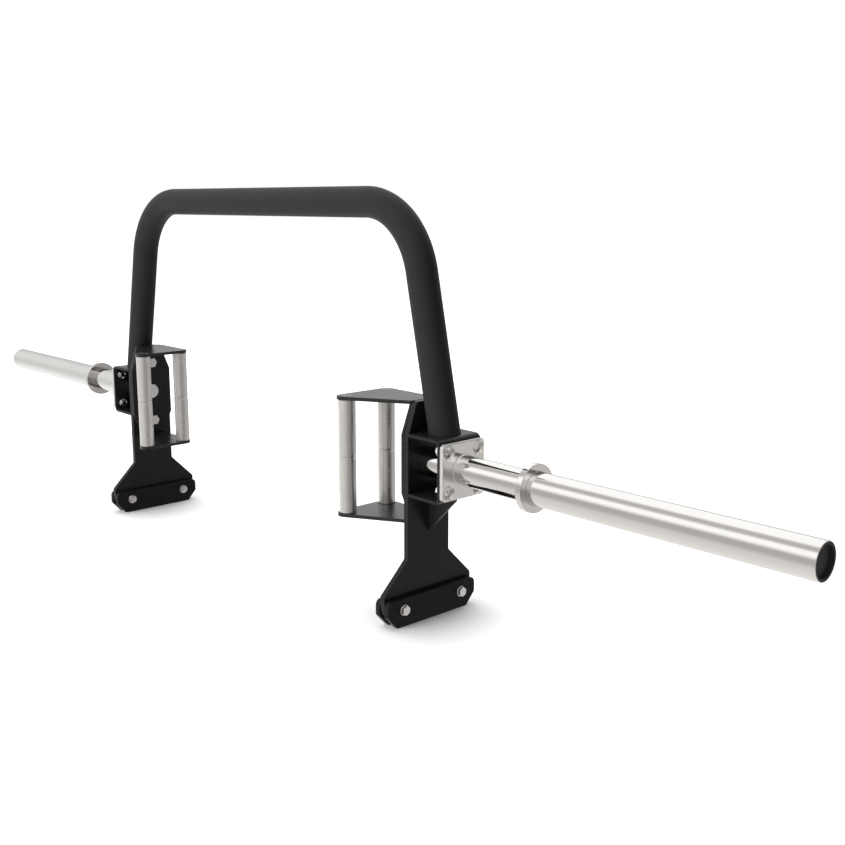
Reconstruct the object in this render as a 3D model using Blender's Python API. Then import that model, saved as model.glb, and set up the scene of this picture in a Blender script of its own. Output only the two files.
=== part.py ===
"""Open trap bar that stands on its own feet, with two grips and a turning sleeve on each side.

The frame is the stored pose: the arch upright, the sleeves level along X, the front towards -Y.
The origin is on the floor, halfway between the two sides. Every piece of a side is written
for the right side, at +X, and mirrored for the left one.
"""
import math

import bmesh
import bpy
from mathutils import Vector

# Gaps between pieces, in metres like every size here
SEAT_GAP = 0.0003           # between two pieces that touch
HOLE_GAP = 0.0003           # round a pin, tube or screw in its hole
TURN_GAP = 0.0001           # between the shaft and the bushings that turn on it

# Where things are
AXIS_HEIGHT = 0.2565        # sleeve axis above the floor
GRIP_X = 0.3293             # grip axes from the middle of the bar
FRONT_GRIP_Y = -0.0709
REAR_GRIP_Y = 0.0123

# Handle: two plates, two grips and the plate that carries them
GRIP_RADIUS = 0.0140
GRIP_CLEAR = 0.1860         # free length of a grip between its plates
SPIGOT_RADIUS = 0.0110      # turned-down ends of a grip, in the plates
GRIP_GROOVE_WIDTH = 0.0040
GRIP_GROOVE_DEPTH = 0.0006
HANDLE_PLATE_THICKNESS = 0.0060
HANDLE_PLATE_MARGIN = 0.0148    # plate edge from a grip's axis, and its corner radius
HANDLE_REACH = 0.0998       # grip axis to the back plate's face
HANDLE_NECK = 0.0540        # width of a handle plate at the leg
HANDLE_NECK_CORNER = 0.0080
BACK_PLATE_THICKNESS = 0.0060
BACK_PLATE_STRAIGHT = 0.0940    # height of the back plate's full-width part
HANDLE_BOLT_SPACING = 0.1250
HANDLE_BOLT_RADIUS = 0.0060
HANDLE_BOLT_HEAD = 0.0075
HANDLE_BOLT_FLATS = 0.0190
HANDLE_BOLT_DEPTH = 0.0080      # thread in the leg plate

# Leg plate, which spreads into the foot
LEG_THICKNESS = 0.0100
LEG_WIDTH = 0.0888
LEG_TOP_RISE = 0.0985       # top edge above the sleeve axis
LEG_TOP_WIDTH = 0.0522
LEG_TOP_CORNER = 0.0080
LEG_SHOULDER_RISE = 0.0445      # where the slanted shoulders start, above the axis
LEG_SHOULDER_CORNER = 0.0120
FLARE_TOP = 0.1030          # where the leg starts to spread, above the floor
FLARE_CORNER = 0.0060
FOOT_LENGTH = 0.1888
FOOT_RISE = 0.0030          # the steel foot stops short of the floor
FOOT_TOE_HEIGHT = 0.0400        # below this the foot draws in between its pads
FOOT_TOE_TAPER = 0.0022

# Foot pads, one on each face of the leg
PAD_THICKNESS = 0.0101
PAD_LENGTH = 0.1900
PAD_HEIGHT = 0.0462
PAD_CHAMFER_LENGTH = 0.0190
PAD_CHAMFER_HEIGHT = 0.0210
PAD_TOP_CORNER = 0.0095
PAD_FOOT_CORNER = 0.0030
FOOT_BOLT_SPACING = 0.1244
FOOT_BOLT_HEIGHT = 0.0283
FOOT_BOLT_RADIUS = 0.0040
FOOT_BOLT_FLATS = 0.0142
FOOT_BOLT_HEAD = 0.0063
FOOT_BOLT_COLLAR_RADIUS = 0.0088
FOOT_BOLT_COLLAR = 0.0014
FOOT_BOLT_OVERHANG = 0.0020     # thread past the nut

# Sleeve bracket, a folded channel that is open to the front and the back
BRACKET_DEPTH = 0.0696
BRACKET_HEIGHT = 0.1005
BRACKET_WIDTH = 0.0888
BRACKET_SHEET = 0.0050
BRACKET_BEND = 0.0100       # outside radius of its two bends
GUSSET_SIZE = 0.0615
GUSSET_THICKNESS = 0.0050
GUSSET_TIP = 0.0020

# Arch
ARCH_RISE = 0.3500          # bracket top to the axis of the level stretch
ARCH_INSET = 0.0748         # how far the legs of the arch lean in over that rise
ARCH_RADIUS = 0.0250
ARCH_WALL = 0.0030
ARCH_BEND = 0.1330

# Sleeve flange and its screws
FLANGE_THICKNESS = 0.0076
FLANGE_SIZE = 0.0885
FLANGE_CORNER = 0.0060
SCREW_SPACING = 0.0625
SCREW_RADIUS = 0.0050
SCREW_SINK_RADIUS = 0.0112  # mouth of the countersink
SCREW_SOCKET_FLATS = 0.0060
SCREW_SOCKET_DEPTH = 0.0035
SCREW_INSET = 0.0026        # head below the flange's face
SCREW_OVERHANG = 0.0012     # thread past the nut
NUT_FLATS = 0.0170
NUT_HEIGHT = 0.0080
NUT_CROWN = 0.0028          # round end of the nut, past its flats
NUT_CROWN_RADIUS = 0.0076

# Shaft, hub tube, collar, sleeve and what turns with it
SHAFT_RADIUS = 0.0150
SHAFT_INNER_REACH = 0.0015      # shaft end past the back plate's face
SHAFT_SHORTFALL = 0.0220        # shaft end short of the sleeve's end
HUB_RADIUS = 0.02375
HUB_LENGTH = 0.1366         # flange to collar
HUB_FILLET = 0.0018
COLLAR_RADIUS = 0.0363
COLLAR_THICKNESS = 0.0108
COLLAR_EDGE = 0.0010
SLEEVE_RADIUS = 0.0250
SLEEVE_BORE = 0.0193
SLEEVE_LOADING = 0.4337     # collar face to the sleeve's end
SLEEVE_EDGE = 0.0008
BUSHING_LENGTH = 0.0400
BUSHING_INSET = 0.0020      # inner bushing from the sleeve's inner end
CIRCLIP_THICKNESS = 0.0020
CIRCLIP_RADIUS = 0.0185
CIRCLIP_SEAT = 0.0012       # depth of its groove in the shaft
CIRCLIP_INSET = 0.0030      # its groove from the shaft's end
CAP_RADIUS = 0.0236
CAP_FLANGE = 0.0070
CAP_PLUG = 0.0080
CAP_RIM = 0.0032            # width of the raised rim
CAP_DISH = 0.0045

# How finely round shapes are drawn
SHAFT_SIDES = 36
TUBE_SIDES = 24
BOLT_SIDES = 18
FOOT_BOLT_SIDES = 36
CORNER_STEPS = 3
ARCH_BEND_STEPS = 10

# Stations along X, from the grips outwards
BACK_X = GRIP_X + HANDLE_REACH
LEG_X = BACK_X + BACK_PLATE_THICKNESS + SEAT_GAP
LEG_FACE_X = LEG_X + LEG_THICKNESS
BRACKET_X = LEG_FACE_X + SEAT_GAP
BRACKET_FACE_X = BRACKET_X + BRACKET_DEPTH
FLANGE_X = BRACKET_FACE_X + SEAT_GAP
FLANGE_FACE_X = FLANGE_X + FLANGE_THICKNESS
HUB_START_X = LEG_FACE_X + SEAT_GAP
HUB_X = FLANGE_FACE_X + SEAT_GAP
HUB_END_X = HUB_X + HUB_LENGTH
SLEEVE_X = HUB_END_X + SEAT_GAP
COLLAR_FACE_X = SLEEVE_X + COLLAR_THICKNESS
SLEEVE_END_X = COLLAR_FACE_X + SLEEVE_LOADING
SHAFT_END_X = SLEEVE_END_X - SHAFT_SHORTFALL
BRACKET_TOP = AXIS_HEIGHT + BRACKET_HEIGHT / 2
BRACKET_BOTTOM = AXIS_HEIGHT - BRACKET_HEIGHT / 2

# Finishes: colour, metallic and roughness
FINISHES = {
    "powder_coat": ((0.022, 0.022, 0.023), 0.0, 0.50),
    "chrome": ((0.80, 0.80, 0.79), 1.0, 0.12),
    "satin_steel": ((0.62, 0.61, 0.59), 1.0, 0.32),
    "knurled_steel": ((0.58, 0.56, 0.54), 1.0, 0.42),
    "zinc": ((0.70, 0.70, 0.70), 1.0, 0.25),
    "bronze": ((0.55, 0.38, 0.20), 1.0, 0.40),
    "spring_steel": ((0.20, 0.20, 0.21), 1.0, 0.40),
    "black_plastic": ((0.018, 0.018, 0.019), 0.0, 0.45),
}


def point(plane, u, v, w):
    """Point at (u, v) of a plane square to X, Y or Z, at w along that axis."""
    if plane == "X":
        return Vector((w, u, v))
    if plane == "Y":
        return Vector((u, w, v))
    return Vector((u, v, w))


def rounded(corners):
    """Outline through corners (u, v, radius), each radius drawn as a short arc."""
    outline = []
    count = len(corners)
    for i, (u, v, radius) in enumerate(corners):
        corner = Vector((u, v))
        before = Vector(corners[i - 1][:2]) - corner
        after = Vector(corners[(i + 1) % count][:2]) - corner
        if radius == 0:
            outline.append((u, v))
            continue
        half = before.angle(after) / 2
        run = min(radius / math.tan(half), 0.45 * before.length, 0.45 * after.length)
        radius = run * math.tan(half)
        bisector = (before.normalized() + after.normalized()).normalized()
        centre = corner + bisector * radius / math.sin(half)
        start = corner + before.normalized() * run - centre
        end = corner + after.normalized() * run - centre
        turn = start.angle_signed(end)
        for step in range(CORNER_STEPS + 1):
            angle = math.atan2(start.y, start.x) - turn * step / CORNER_STEPS
            outline.append((centre.x + radius * math.cos(angle), centre.y + radius * math.sin(angle)))
    return outline


def circle(centre, radius, sides):
    """Outline of a circle."""
    turns = [2 * math.pi * i / sides for i in range(sides)]
    return [(centre[0] + radius * math.cos(t), centre[1] + radius * math.sin(t)) for t in turns]


def hexagon(centre, flats, sides, upright=False):
    """Outline of a hexagon with as many points as a circle of that many sides. Two corners lie
    along the first direction of its plane or, upright, along the second."""
    outline = []
    start = math.pi / 2 if upright else 0
    for i in range(sides):
        turn = 2 * math.pi * i / sides
        reach = flats / 2 / math.cos((turn - start) % (math.pi / 3) - math.pi / 6)
        outline.append((centre[0] + reach * math.cos(turn), centre[1] + reach * math.sin(turn)))
    return outline


def add_loop(bm, plane, w, outline):
    """Corners of one outline, at w along the plane's axis."""
    return [bm.verts.new(point(plane, u, v, w)) for u, v in outline]


def add_wall(bm, low, high):
    """Faces between two loops with as many corners."""
    for i in range(len(low)):
        bm.faces.new((low[i - 1], low[i], high[i], high[i - 1]))


def add_face(bm, loops):
    """Flat face inside the first loop, with the other loops as holes."""
    edges = []
    for loop in loops:
        for i, corner in enumerate(loop):
            ends = (loop[i - 1], corner)
            edges.append(bm.edges.get(ends) or bm.edges.new(ends))
    bmesh.ops.triangle_fill(bm, use_beauty=True, edges=edges)


def plate(plane, low, high, outline, holes=()):
    """Flat plate between two places on an axis. A hole is a list of (w, outline) from its low end;
    one that stops short of the high face is blind."""
    bm = bmesh.new()
    low_face = [add_loop(bm, plane, low, outline)]
    high_face = [add_loop(bm, plane, high, outline)]
    add_wall(bm, low_face[0], high_face[0])
    for hole in holes:
        rings = [add_loop(bm, plane, w, ring) for w, ring in hole]
        for near, far in zip(rings, rings[1:]):
            add_wall(bm, near, far)
        low_face.append(rings[0])
        if hole[-1][0] == high:
            high_face.append(rings[-1])
        else:
            bm.faces.new(rings[-1])
    add_face(bm, low_face)
    add_face(bm, high_face)
    return bm


def drilled(low, high, centre, radius, sides=BOLT_SIDES):
    """Round hole from one place to another."""
    return [(low, circle(centre, radius, sides)), (high, circle(centre, radius, sides))]


def turned(plane, centre, profile, sides, hollow=False):
    """Turned piece round an axis. The profile is (w, radius) from end to end and, where the
    piece is hollow, back again inside."""
    stations = [(w, circle(centre, radius, sides)) for w, radius in profile]
    return stacked(plane, stations, hollow)


def stacked(plane, stations, hollow=False):
    """Piece through a row of outlines, closed by its ends or into a ring."""
    bm = bmesh.new()
    loops = [add_loop(bm, plane, w, outline) for w, outline in stations]
    for near, far in zip(loops, loops[1:]):
        add_wall(bm, near, far)
    if hollow:
        add_wall(bm, loops[-1], loops[0])
    else:
        bm.faces.new(loops[0])
        bm.faces.new(loops[-1])
    return bm


def make_finish(name, finish):
    """Material of one piece."""
    colour, metallic, roughness = FINISHES[finish]
    material = bpy.data.materials.new(name + "_finish")
    material.use_nodes = True
    shader = material.node_tree.nodes["Principled BSDF"]
    shader.inputs["Base Color"].default_value = (*colour, 1.0)
    shader.inputs["Metallic"].default_value = metallic
    shader.inputs["Roughness"].default_value = roughness
    material.diffuse_color = (*colour, 1.0)
    return material


def make_parent(name, place):
    """Empty that carries the pieces of a side or of a turning sleeve."""
    empty = bpy.data.objects.new(name, None)
    empty.location = place
    bpy.context.collection.objects.link(empty)
    return empty


class Side:
    """One side of the bar: its name, its sign along X, its parents and its finished pieces."""

    def __init__(self, name, sign):
        self.name = name
        self.sign = sign
        self.fixed = make_parent(name + "_side", (0, 0, 0))
        self.turning = make_parent(name + "_sleeve_axis", (sign * SLEEVE_X, 0, AXIS_HEIGHT))

    def add(self, name, bm, origin, finish, parent=None):
        """Turn a mesh, drawn for the right side, into this side's piece with its own origin."""
        parent = parent or self.fixed
        obj = make_object(f"{self.name}_{name}", bm, origin, finish, self.sign)
        place = Vector((self.sign * origin[0], origin[1], origin[2]))
        obj.parent = parent
        obj.location = place - parent.location
        return obj

    def cut(self, obj, name, bm):
        """Cut a mesh, drawn for the right side, out of one of this side's pieces."""
        cutter = self.add(name, bm, (LEG_X, 0, AXIS_HEIGHT), "powder_coat")
        cutter.hide_render = True
        cutter.display_type = "WIRE"
        modifier = obj.modifiers.new(name, "BOOLEAN")
        modifier.object = cutter
        modifier.solver = "EXACT"


def make_object(name, bm, origin, finish, sign=1):
    """Object from a mesh, drawn in place, with its origin moved and its X mirrored on the left."""
    shift = Vector(origin)
    for vert in bm.verts:
        vert.co -= shift
        vert.co.x *= sign
    bmesh.ops.recalc_face_normals(bm, faces=bm.faces)
    if bm.calc_volume(signed=True) < 0:
        bmesh.ops.reverse_faces(bm, faces=bm.faces)
    mesh = bpy.data.meshes.new(name)
    bm.to_mesh(mesh)
    bm.free()
    mesh.shade_smooth()
    mesh.set_sharp_from_angle(angle=math.radians(30))
    obj = bpy.data.objects.new(name, mesh)
    obj.location = shift
    obj.data.materials.append(make_finish(name, finish))
    bpy.context.collection.objects.link(obj)
    return obj


def axis_point(y=0.0, rise=0.0):
    """Point of a plane square to X, from the sleeve axis."""
    return (y, AXIS_HEIGHT + rise)


def add_leg(side):
    """Leg plate with slanted shoulders, a spread foot and a shallow hollow where the arch leans on
    its top."""
    half = LEG_WIDTH / 2
    top = AXIS_HEIGHT + LEG_TOP_RISE
    shoulder = AXIS_HEIGHT + LEG_SHOULDER_RISE
    foot = FOOT_LENGTH / 2
    flare_end = FLARE_TOP - (foot - half)
    rear = [
        (LEG_TOP_WIDTH / 2, top, LEG_TOP_CORNER),
        (half, shoulder, LEG_SHOULDER_CORNER),
        (half, FLARE_TOP, FLARE_CORNER),
        (foot, flare_end, FLARE_CORNER),
        (foot, FOOT_TOE_HEIGHT, 0),
        (foot - FOOT_TOE_TAPER, PAD_CHAMFER_HEIGHT + FOOT_RISE, 0),
        (foot - FOOT_TOE_TAPER - PAD_CHAMFER_LENGTH, FOOT_RISE, 0),
    ]
    front = [(-y, z, radius) for y, z, radius in reversed(rear)]
    shaft_hole = drilled(LEG_X, LEG_FACE_X, axis_point(), SHAFT_RADIUS + HOLE_GAP, SHAFT_SIDES)
    holes = [shaft_hole]
    for sign in (-1, 1):
        foot_centre = (sign * FOOT_BOLT_SPACING / 2, FOOT_BOLT_HEIGHT)
        hole_radius = FOOT_BOLT_RADIUS + HOLE_GAP
        holes.append(drilled(LEG_X, LEG_FACE_X, foot_centre, hole_radius, FOOT_BOLT_SIDES))
        thread_end = LEG_X + HANDLE_BOLT_DEPTH + SEAT_GAP
        bolt_centre = axis_point(rise=sign * HANDLE_BOLT_SPACING / 2)
        holes.append(drilled(LEG_X, thread_end, bolt_centre, HANDLE_BOLT_RADIUS + HOLE_GAP))
    bm = plate("X", LEG_X, LEG_FACE_X, rounded(rear + front), holes)
    leg = side.add("leg_plate", bm, (LEG_X, 0, 0), "powder_coat")

    foot_of_arch, way = arch_path()[0]
    cutter = bmesh.new()
    loops = []
    for reach in (-ARCH_RADIUS, LEG_TOP_RISE):
        loops.append(tube_loop(cutter, foot_of_arch + way * reach, way, ARCH_RADIUS + SEAT_GAP))
    add_wall(cutter, *loops)
    cutter.faces.new(loops[0])
    cutter.faces.new(loops[1])
    side.cut(leg, "leg_hollow", cutter)


def add_foot_pads(side):
    """Plastic pad on each face of the foot, which the bar stands on."""
    half = PAD_LENGTH / 2
    rear = [
        (half, PAD_HEIGHT, PAD_TOP_CORNER),
        (half, PAD_CHAMFER_HEIGHT, PAD_FOOT_CORNER),
        (half - PAD_CHAMFER_LENGTH, 0, PAD_FOOT_CORNER),
    ]
    front = [(-y, z, radius) for y, z, radius in reversed(rear)]
    outline = rounded(rear + front)
    places = {
        "inner_foot_pad": LEG_X - SEAT_GAP - PAD_THICKNESS,
        "outer_foot_pad": LEG_FACE_X + SEAT_GAP,
    }
    for name, low in places.items():
        high = low + PAD_THICKNESS
        centres = [(sign * FOOT_BOLT_SPACING / 2, FOOT_BOLT_HEIGHT) for sign in (-1, 1)]
        hole_radius = FOOT_BOLT_RADIUS + HOLE_GAP
        holes = [drilled(low, high, c, hole_radius, FOOT_BOLT_SIDES) for c in centres]
        side.add(name, plate("X", low, high, outline, holes), (low, 0, 0), "black_plastic")


def add_foot_bolts(side):
    """Collared hex bolt and nut through each end of the foot."""
    head = LEG_FACE_X + SEAT_GAP + PAD_THICKNESS + SEAT_GAP
    nut = LEG_X - SEAT_GAP - PAD_THICKNESS - SEAT_GAP
    nut_end = nut - FOOT_BOLT_HEAD
    for name, sign in (("front", -1), ("rear", 1)):
        centre = (sign * FOOT_BOLT_SPACING / 2, FOOT_BOLT_HEIGHT)
        shank = circle(centre, FOOT_BOLT_RADIUS, FOOT_BOLT_SIDES)
        collar = circle(centre, FOOT_BOLT_COLLAR_RADIUS, FOOT_BOLT_SIDES)
        flats = hexagon(centre, FOOT_BOLT_FLATS, FOOT_BOLT_SIDES, upright=True)
        bore = circle(centre, FOOT_BOLT_RADIUS + HOLE_GAP, FOOT_BOLT_SIDES)
        bolt = [
            (nut_end - FOOT_BOLT_OVERHANG, shank),
            (head, shank),
            (head, collar),
            (head + FOOT_BOLT_COLLAR, collar),
            (head + FOOT_BOLT_COLLAR, flats),
            (head + FOOT_BOLT_HEAD, flats),
        ]
        origin = (head, *centre)
        side.add(f"foot_bolt_{name}", stacked("X", bolt), origin, "zinc")
        ring = [
            (nut, collar),
            (nut - FOOT_BOLT_COLLAR, collar),
            (nut - FOOT_BOLT_COLLAR, flats),
            (nut_end, flats),
            (nut_end, bore),
            (nut, bore),
        ]
        side.add(f"foot_nut_{name}", stacked("X", ring, hollow=True), (nut, *centre), "zinc")


def add_bracket(side):
    """Folded channel on the leg's outer face, with its holes cut through the web."""
    tip = BRACKET_X
    face = BRACKET_FACE_X
    inner_bend = BRACKET_BEND - BRACKET_SHEET
    profile = rounded([
        (tip, BRACKET_TOP, 0),
        (face, BRACKET_TOP, BRACKET_BEND),
        (face, BRACKET_BOTTOM, BRACKET_BEND),
        (tip, BRACKET_BOTTOM, 0),
        (tip, BRACKET_BOTTOM + BRACKET_SHEET, 0),
        (face - BRACKET_SHEET, BRACKET_BOTTOM + BRACKET_SHEET, inner_bend),
        (face - BRACKET_SHEET, BRACKET_TOP - BRACKET_SHEET, inner_bend),
        (tip, BRACKET_TOP - BRACKET_SHEET, 0),
    ])
    half = BRACKET_WIDTH / 2
    bracket = side.add(
        "sleeve_bracket", plate("Y", -half, half, profile), (tip, 0, AXIS_HEIGHT), "powder_coat")
    ends = (face - 2 * BRACKET_SHEET, face + BRACKET_SHEET)
    cutters = bmesh.new()
    rounds = [(axis_point(), HUB_RADIUS + HOLE_GAP, SHAFT_SIDES)]
    rounds += [(centre, SCREW_RADIUS + HOLE_GAP, BOLT_SIDES) for centre in screw_centres()]
    for centre, radius, sides in rounds:
        loops = [add_loop(cutters, "X", w, circle(centre, radius, sides)) for w in ends]
        add_wall(cutters, *loops)
        cutters.faces.new(loops[0])
        cutters.faces.new(loops[1])
    side.cut(bracket, "bracket_holes", cutters)


def add_gusset(side):
    """Triangle between the leg and the underside of the bracket."""
    corner = BRACKET_BOTTOM - SEAT_GAP
    outline = [
        (BRACKET_X, corner),
        (BRACKET_X + GUSSET_SIZE, corner),
        (BRACKET_X + GUSSET_SIZE, corner - GUSSET_TIP),
        (BRACKET_X + GUSSET_TIP, corner - GUSSET_SIZE),
        (BRACKET_X, corner - GUSSET_SIZE),
    ]
    half = GUSSET_THICKNESS / 2
    bm = plate("Y", -half, half, outline)
    side.add("bracket_gusset", bm, (BRACKET_X, 0, corner), "powder_coat")


def handle_outline():
    """Plan of a handle plate: round the two grips, then narrowing to the leg."""
    inner = GRIP_X - HANDLE_PLATE_MARGIN
    end = LEG_X - SEAT_GAP
    rear = REAR_GRIP_Y + HANDLE_PLATE_MARGIN
    neck = Vector((end, -HANDLE_NECK / 2))
    to_grip = Vector((GRIP_X, FRONT_GRIP_Y)) - neck
    slope = math.atan2(-to_grip.y, -to_grip.x) + math.asin(HANDLE_PLATE_MARGIN / to_grip.length)
    front = neck.y - (end - inner) * math.tan(slope)
    return rounded([
        (inner, rear, HANDLE_PLATE_MARGIN),
        (end, rear, HANDLE_NECK_CORNER),
        (neck.x, neck.y, HANDLE_NECK_CORNER),
        (inner, front, HANDLE_PLATE_MARGIN),
    ])


def add_handle_plates(side):
    """Plate above and below the grips, with a hole for each grip's end."""
    outline = handle_outline()
    half = GRIP_CLEAR / 2
    levels = {
        "handle_top_plate": AXIS_HEIGHT + half,
        "handle_bottom_plate": AXIS_HEIGHT - half - HANDLE_PLATE_THICKNESS,
    }
    for name, low in levels.items():
        high = low + HANDLE_PLATE_THICKNESS
        centres = [(GRIP_X, y) for y in (FRONT_GRIP_Y, REAR_GRIP_Y)]
        holes = [drilled(low, high, c, SPIGOT_RADIUS + HOLE_GAP, TUBE_SIDES) for c in centres]
        bm = plate("Z", low, high, outline, holes)
        side.add(name, bm, (GRIP_X, 0, low), "powder_coat")


def add_back_plate(side):
    """Plate between the handle plates, bolted to the leg, with its four corners cut off."""
    half_height = GRIP_CLEAR / 2 - SEAT_GAP
    half = LEG_WIDTH / 2
    neck = HANDLE_NECK / 2
    straight = BACK_PLATE_STRAIGHT / 2
    quarter = [(neck, half_height), (half, straight)]
    corners = [(y, z) for y, z in quarter]
    corners += [(y, -z) for y, z in reversed(quarter)]
    corners += [(-y, -z) for y, z in quarter]
    corners += [(-y, z) for y, z in reversed(quarter)]
    outline = [axis_point(y, z) for y, z in corners]
    low = BACK_X
    high = BACK_X + BACK_PLATE_THICKNESS
    holes = [drilled(low, high, axis_point(), SHAFT_RADIUS + HOLE_GAP, SHAFT_SIDES)]
    for sign in (-1, 1):
        centre = axis_point(rise=sign * HANDLE_BOLT_SPACING / 2)
        holes.append(drilled(low, high, centre, HANDLE_BOLT_RADIUS + HOLE_GAP))
    bm = plate("X", low, high, outline, holes)
    side.add("handle_back_plate", bm, (low, 0, AXIS_HEIGHT), "powder_coat")


def add_handle_bolts(side):
    """Hex bolt above and below the shaft, threaded into the leg plate."""
    seat = BACK_X - SEAT_GAP
    for name, sign in (("upper", 1), ("lower", -1)):
        centre = axis_point(rise=sign * HANDLE_BOLT_SPACING / 2)
        shank = circle(centre, HANDLE_BOLT_RADIUS, BOLT_SIDES)
        flats = hexagon(centre, HANDLE_BOLT_FLATS, BOLT_SIDES)
        bolt = [
            (seat - HANDLE_BOLT_HEAD, flats),
            (seat, flats),
            (seat, shank),
            (LEG_X + HANDLE_BOLT_DEPTH, shank),
        ]
        side.add(f"handle_bolt_{name}", stacked("X", bolt), (seat, *centre), "zinc")


def add_grips(side):
    """Knurled grip with a groove round its middle and a turned-down spigot at each end."""
    half = GRIP_CLEAR / 2
    end = half + HANDLE_PLATE_THICKNESS
    groove = GRIP_GROOVE_WIDTH / 2
    upper = [
        (groove - GRIP_GROOVE_DEPTH, GRIP_RADIUS - GRIP_GROOVE_DEPTH),
        (groove, GRIP_RADIUS),
        (half - SEAT_GAP, GRIP_RADIUS),
        (half - SEAT_GAP, SPIGOT_RADIUS),
        (end, SPIGOT_RADIUS),
    ]
    profile = [(AXIS_HEIGHT - z, radius) for z, radius in reversed(upper)]
    profile += [(AXIS_HEIGHT + z, radius) for z, radius in upper]
    for name, y in (("front", FRONT_GRIP_Y), ("rear", REAR_GRIP_Y)):
        bm = turned("Z", (GRIP_X, y), profile, TUBE_SIDES)
        side.add(f"{name}_grip", bm, (GRIP_X, y, AXIS_HEIGHT), "knurled_steel")


def screw_centres():
    """Centres of the four flange screws, front ones first."""
    half = SCREW_SPACING / 2
    return [axis_point(y, z) for y in (-half, half) for z in (half, -half)]


def add_flange(side):
    """Square plate on the bracket's web, with countersunk holes."""
    low = FLANGE_X
    high = FLANGE_FACE_X
    half = FLANGE_SIZE / 2
    corners = [(half, half), (half, -half), (-half, -half), (-half, half)]
    outline = rounded([(y, AXIS_HEIGHT + z, FLANGE_CORNER) for y, z in corners])
    holes = [drilled(low, high, axis_point(), HUB_RADIUS + HOLE_GAP, SHAFT_SIDES)]
    sink = SCREW_SINK_RADIUS - SCREW_RADIUS
    for centre in screw_centres():
        straight = circle(centre, SCREW_RADIUS + HOLE_GAP, BOLT_SIDES)
        mouth = circle(centre, SCREW_SINK_RADIUS + HOLE_GAP, BOLT_SIDES)
        holes.append([(low, straight), (high - sink, straight), (high, mouth)])
    bm = plate("X", low, high, outline, holes)
    side.add("sleeve_flange", bm, (low, 0, AXIS_HEIGHT), "satin_steel")


def add_flange_screws(side):
    """Countersunk screw in each corner of the flange, one solid with its nut inside the channel."""
    face = FLANGE_FACE_X - SCREW_INSET
    head = SCREW_SINK_RADIUS - SCREW_INSET
    sink = head - SCREW_RADIUS
    nut = BRACKET_FACE_X - BRACKET_SHEET - SEAT_GAP
    names = ("front_upper", "front_lower", "rear_upper", "rear_lower")
    for name, centre in zip(names, screw_centres()):
        shank = circle(centre, SCREW_RADIUS, BOLT_SIDES)
        flats = hexagon(centre, NUT_FLATS, BOLT_SIDES)
        socket = hexagon(centre, SCREW_SOCKET_FLATS, BOLT_SIDES)
        crown = circle(centre, NUT_CROWN_RADIUS, BOLT_SIDES)
        screw = [
            (nut - NUT_HEIGHT - NUT_CROWN - SCREW_OVERHANG, shank),
            (nut - NUT_HEIGHT - NUT_CROWN, shank),
            (nut - NUT_HEIGHT - NUT_CROWN, crown),
            (nut - NUT_HEIGHT, crown),
            (nut - NUT_HEIGHT, flats),
            (nut, flats),
            (nut, shank),
            (face - sink, shank),
            (face, circle(centre, head, BOLT_SIDES)),
            (face, socket),
            (face - SCREW_SOCKET_DEPTH, socket),
        ]
        side.add(f"flange_screw_{name}", stacked("X", screw), (face, *centre), "zinc")


def add_shaft(side):
    """Fixed shaft from the handle's back plate to the outer end of the sleeve."""
    groove_end = SHAFT_END_X - CIRCLIP_INSET
    groove = groove_end - CIRCLIP_THICKNESS - 2 * SEAT_GAP
    profile = [
        (BACK_X - SHAFT_INNER_REACH, SHAFT_RADIUS),
        (groove, SHAFT_RADIUS),
        (groove, SHAFT_RADIUS - CIRCLIP_SEAT),
        (groove_end, SHAFT_RADIUS - CIRCLIP_SEAT),
        (groove_end, SHAFT_RADIUS),
        (SHAFT_END_X, SHAFT_RADIUS),
    ]
    bm = turned("X", axis_point(), profile, SHAFT_SIDES)
    side.add("sleeve_shaft", bm, (BACK_X, 0, AXIS_HEIGHT), "satin_steel")
    clip = groove + SEAT_GAP
    bore = SHAFT_RADIUS - CIRCLIP_SEAT + HOLE_GAP
    ring = [
        (clip, CIRCLIP_RADIUS),
        (clip + CIRCLIP_THICKNESS, CIRCLIP_RADIUS),
        (clip + CIRCLIP_THICKNESS, bore),
        (clip, bore),
    ]
    bm = turned("X", axis_point(), ring, SHAFT_SIDES, hollow=True)
    side.add("retaining_ring", bm, (clip, 0, AXIS_HEIGHT), "spring_steel")


def add_hub(side):
    """Fixed tube over the shaft, from the leg to the collar, with a fillet at the flange."""
    bore = SHAFT_RADIUS + HOLE_GAP
    profile = [(HUB_START_X, bore), (HUB_START_X, HUB_RADIUS), (HUB_X, HUB_RADIUS)]
    for step in range(CORNER_STEPS + 1):
        turn = math.pi / 2 * step / CORNER_STEPS
        reach = HUB_FILLET * (1 - math.sin(turn))
        profile.append((HUB_X + HUB_FILLET * (1 - math.cos(turn)), HUB_RADIUS + reach))
    profile += [(HUB_END_X, HUB_RADIUS), (HUB_END_X, bore)]
    bm = turned("X", axis_point(), profile, SHAFT_SIDES, hollow=True)
    side.add("hub_tube", bm, (HUB_X, 0, AXIS_HEIGHT), "chrome")


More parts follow.
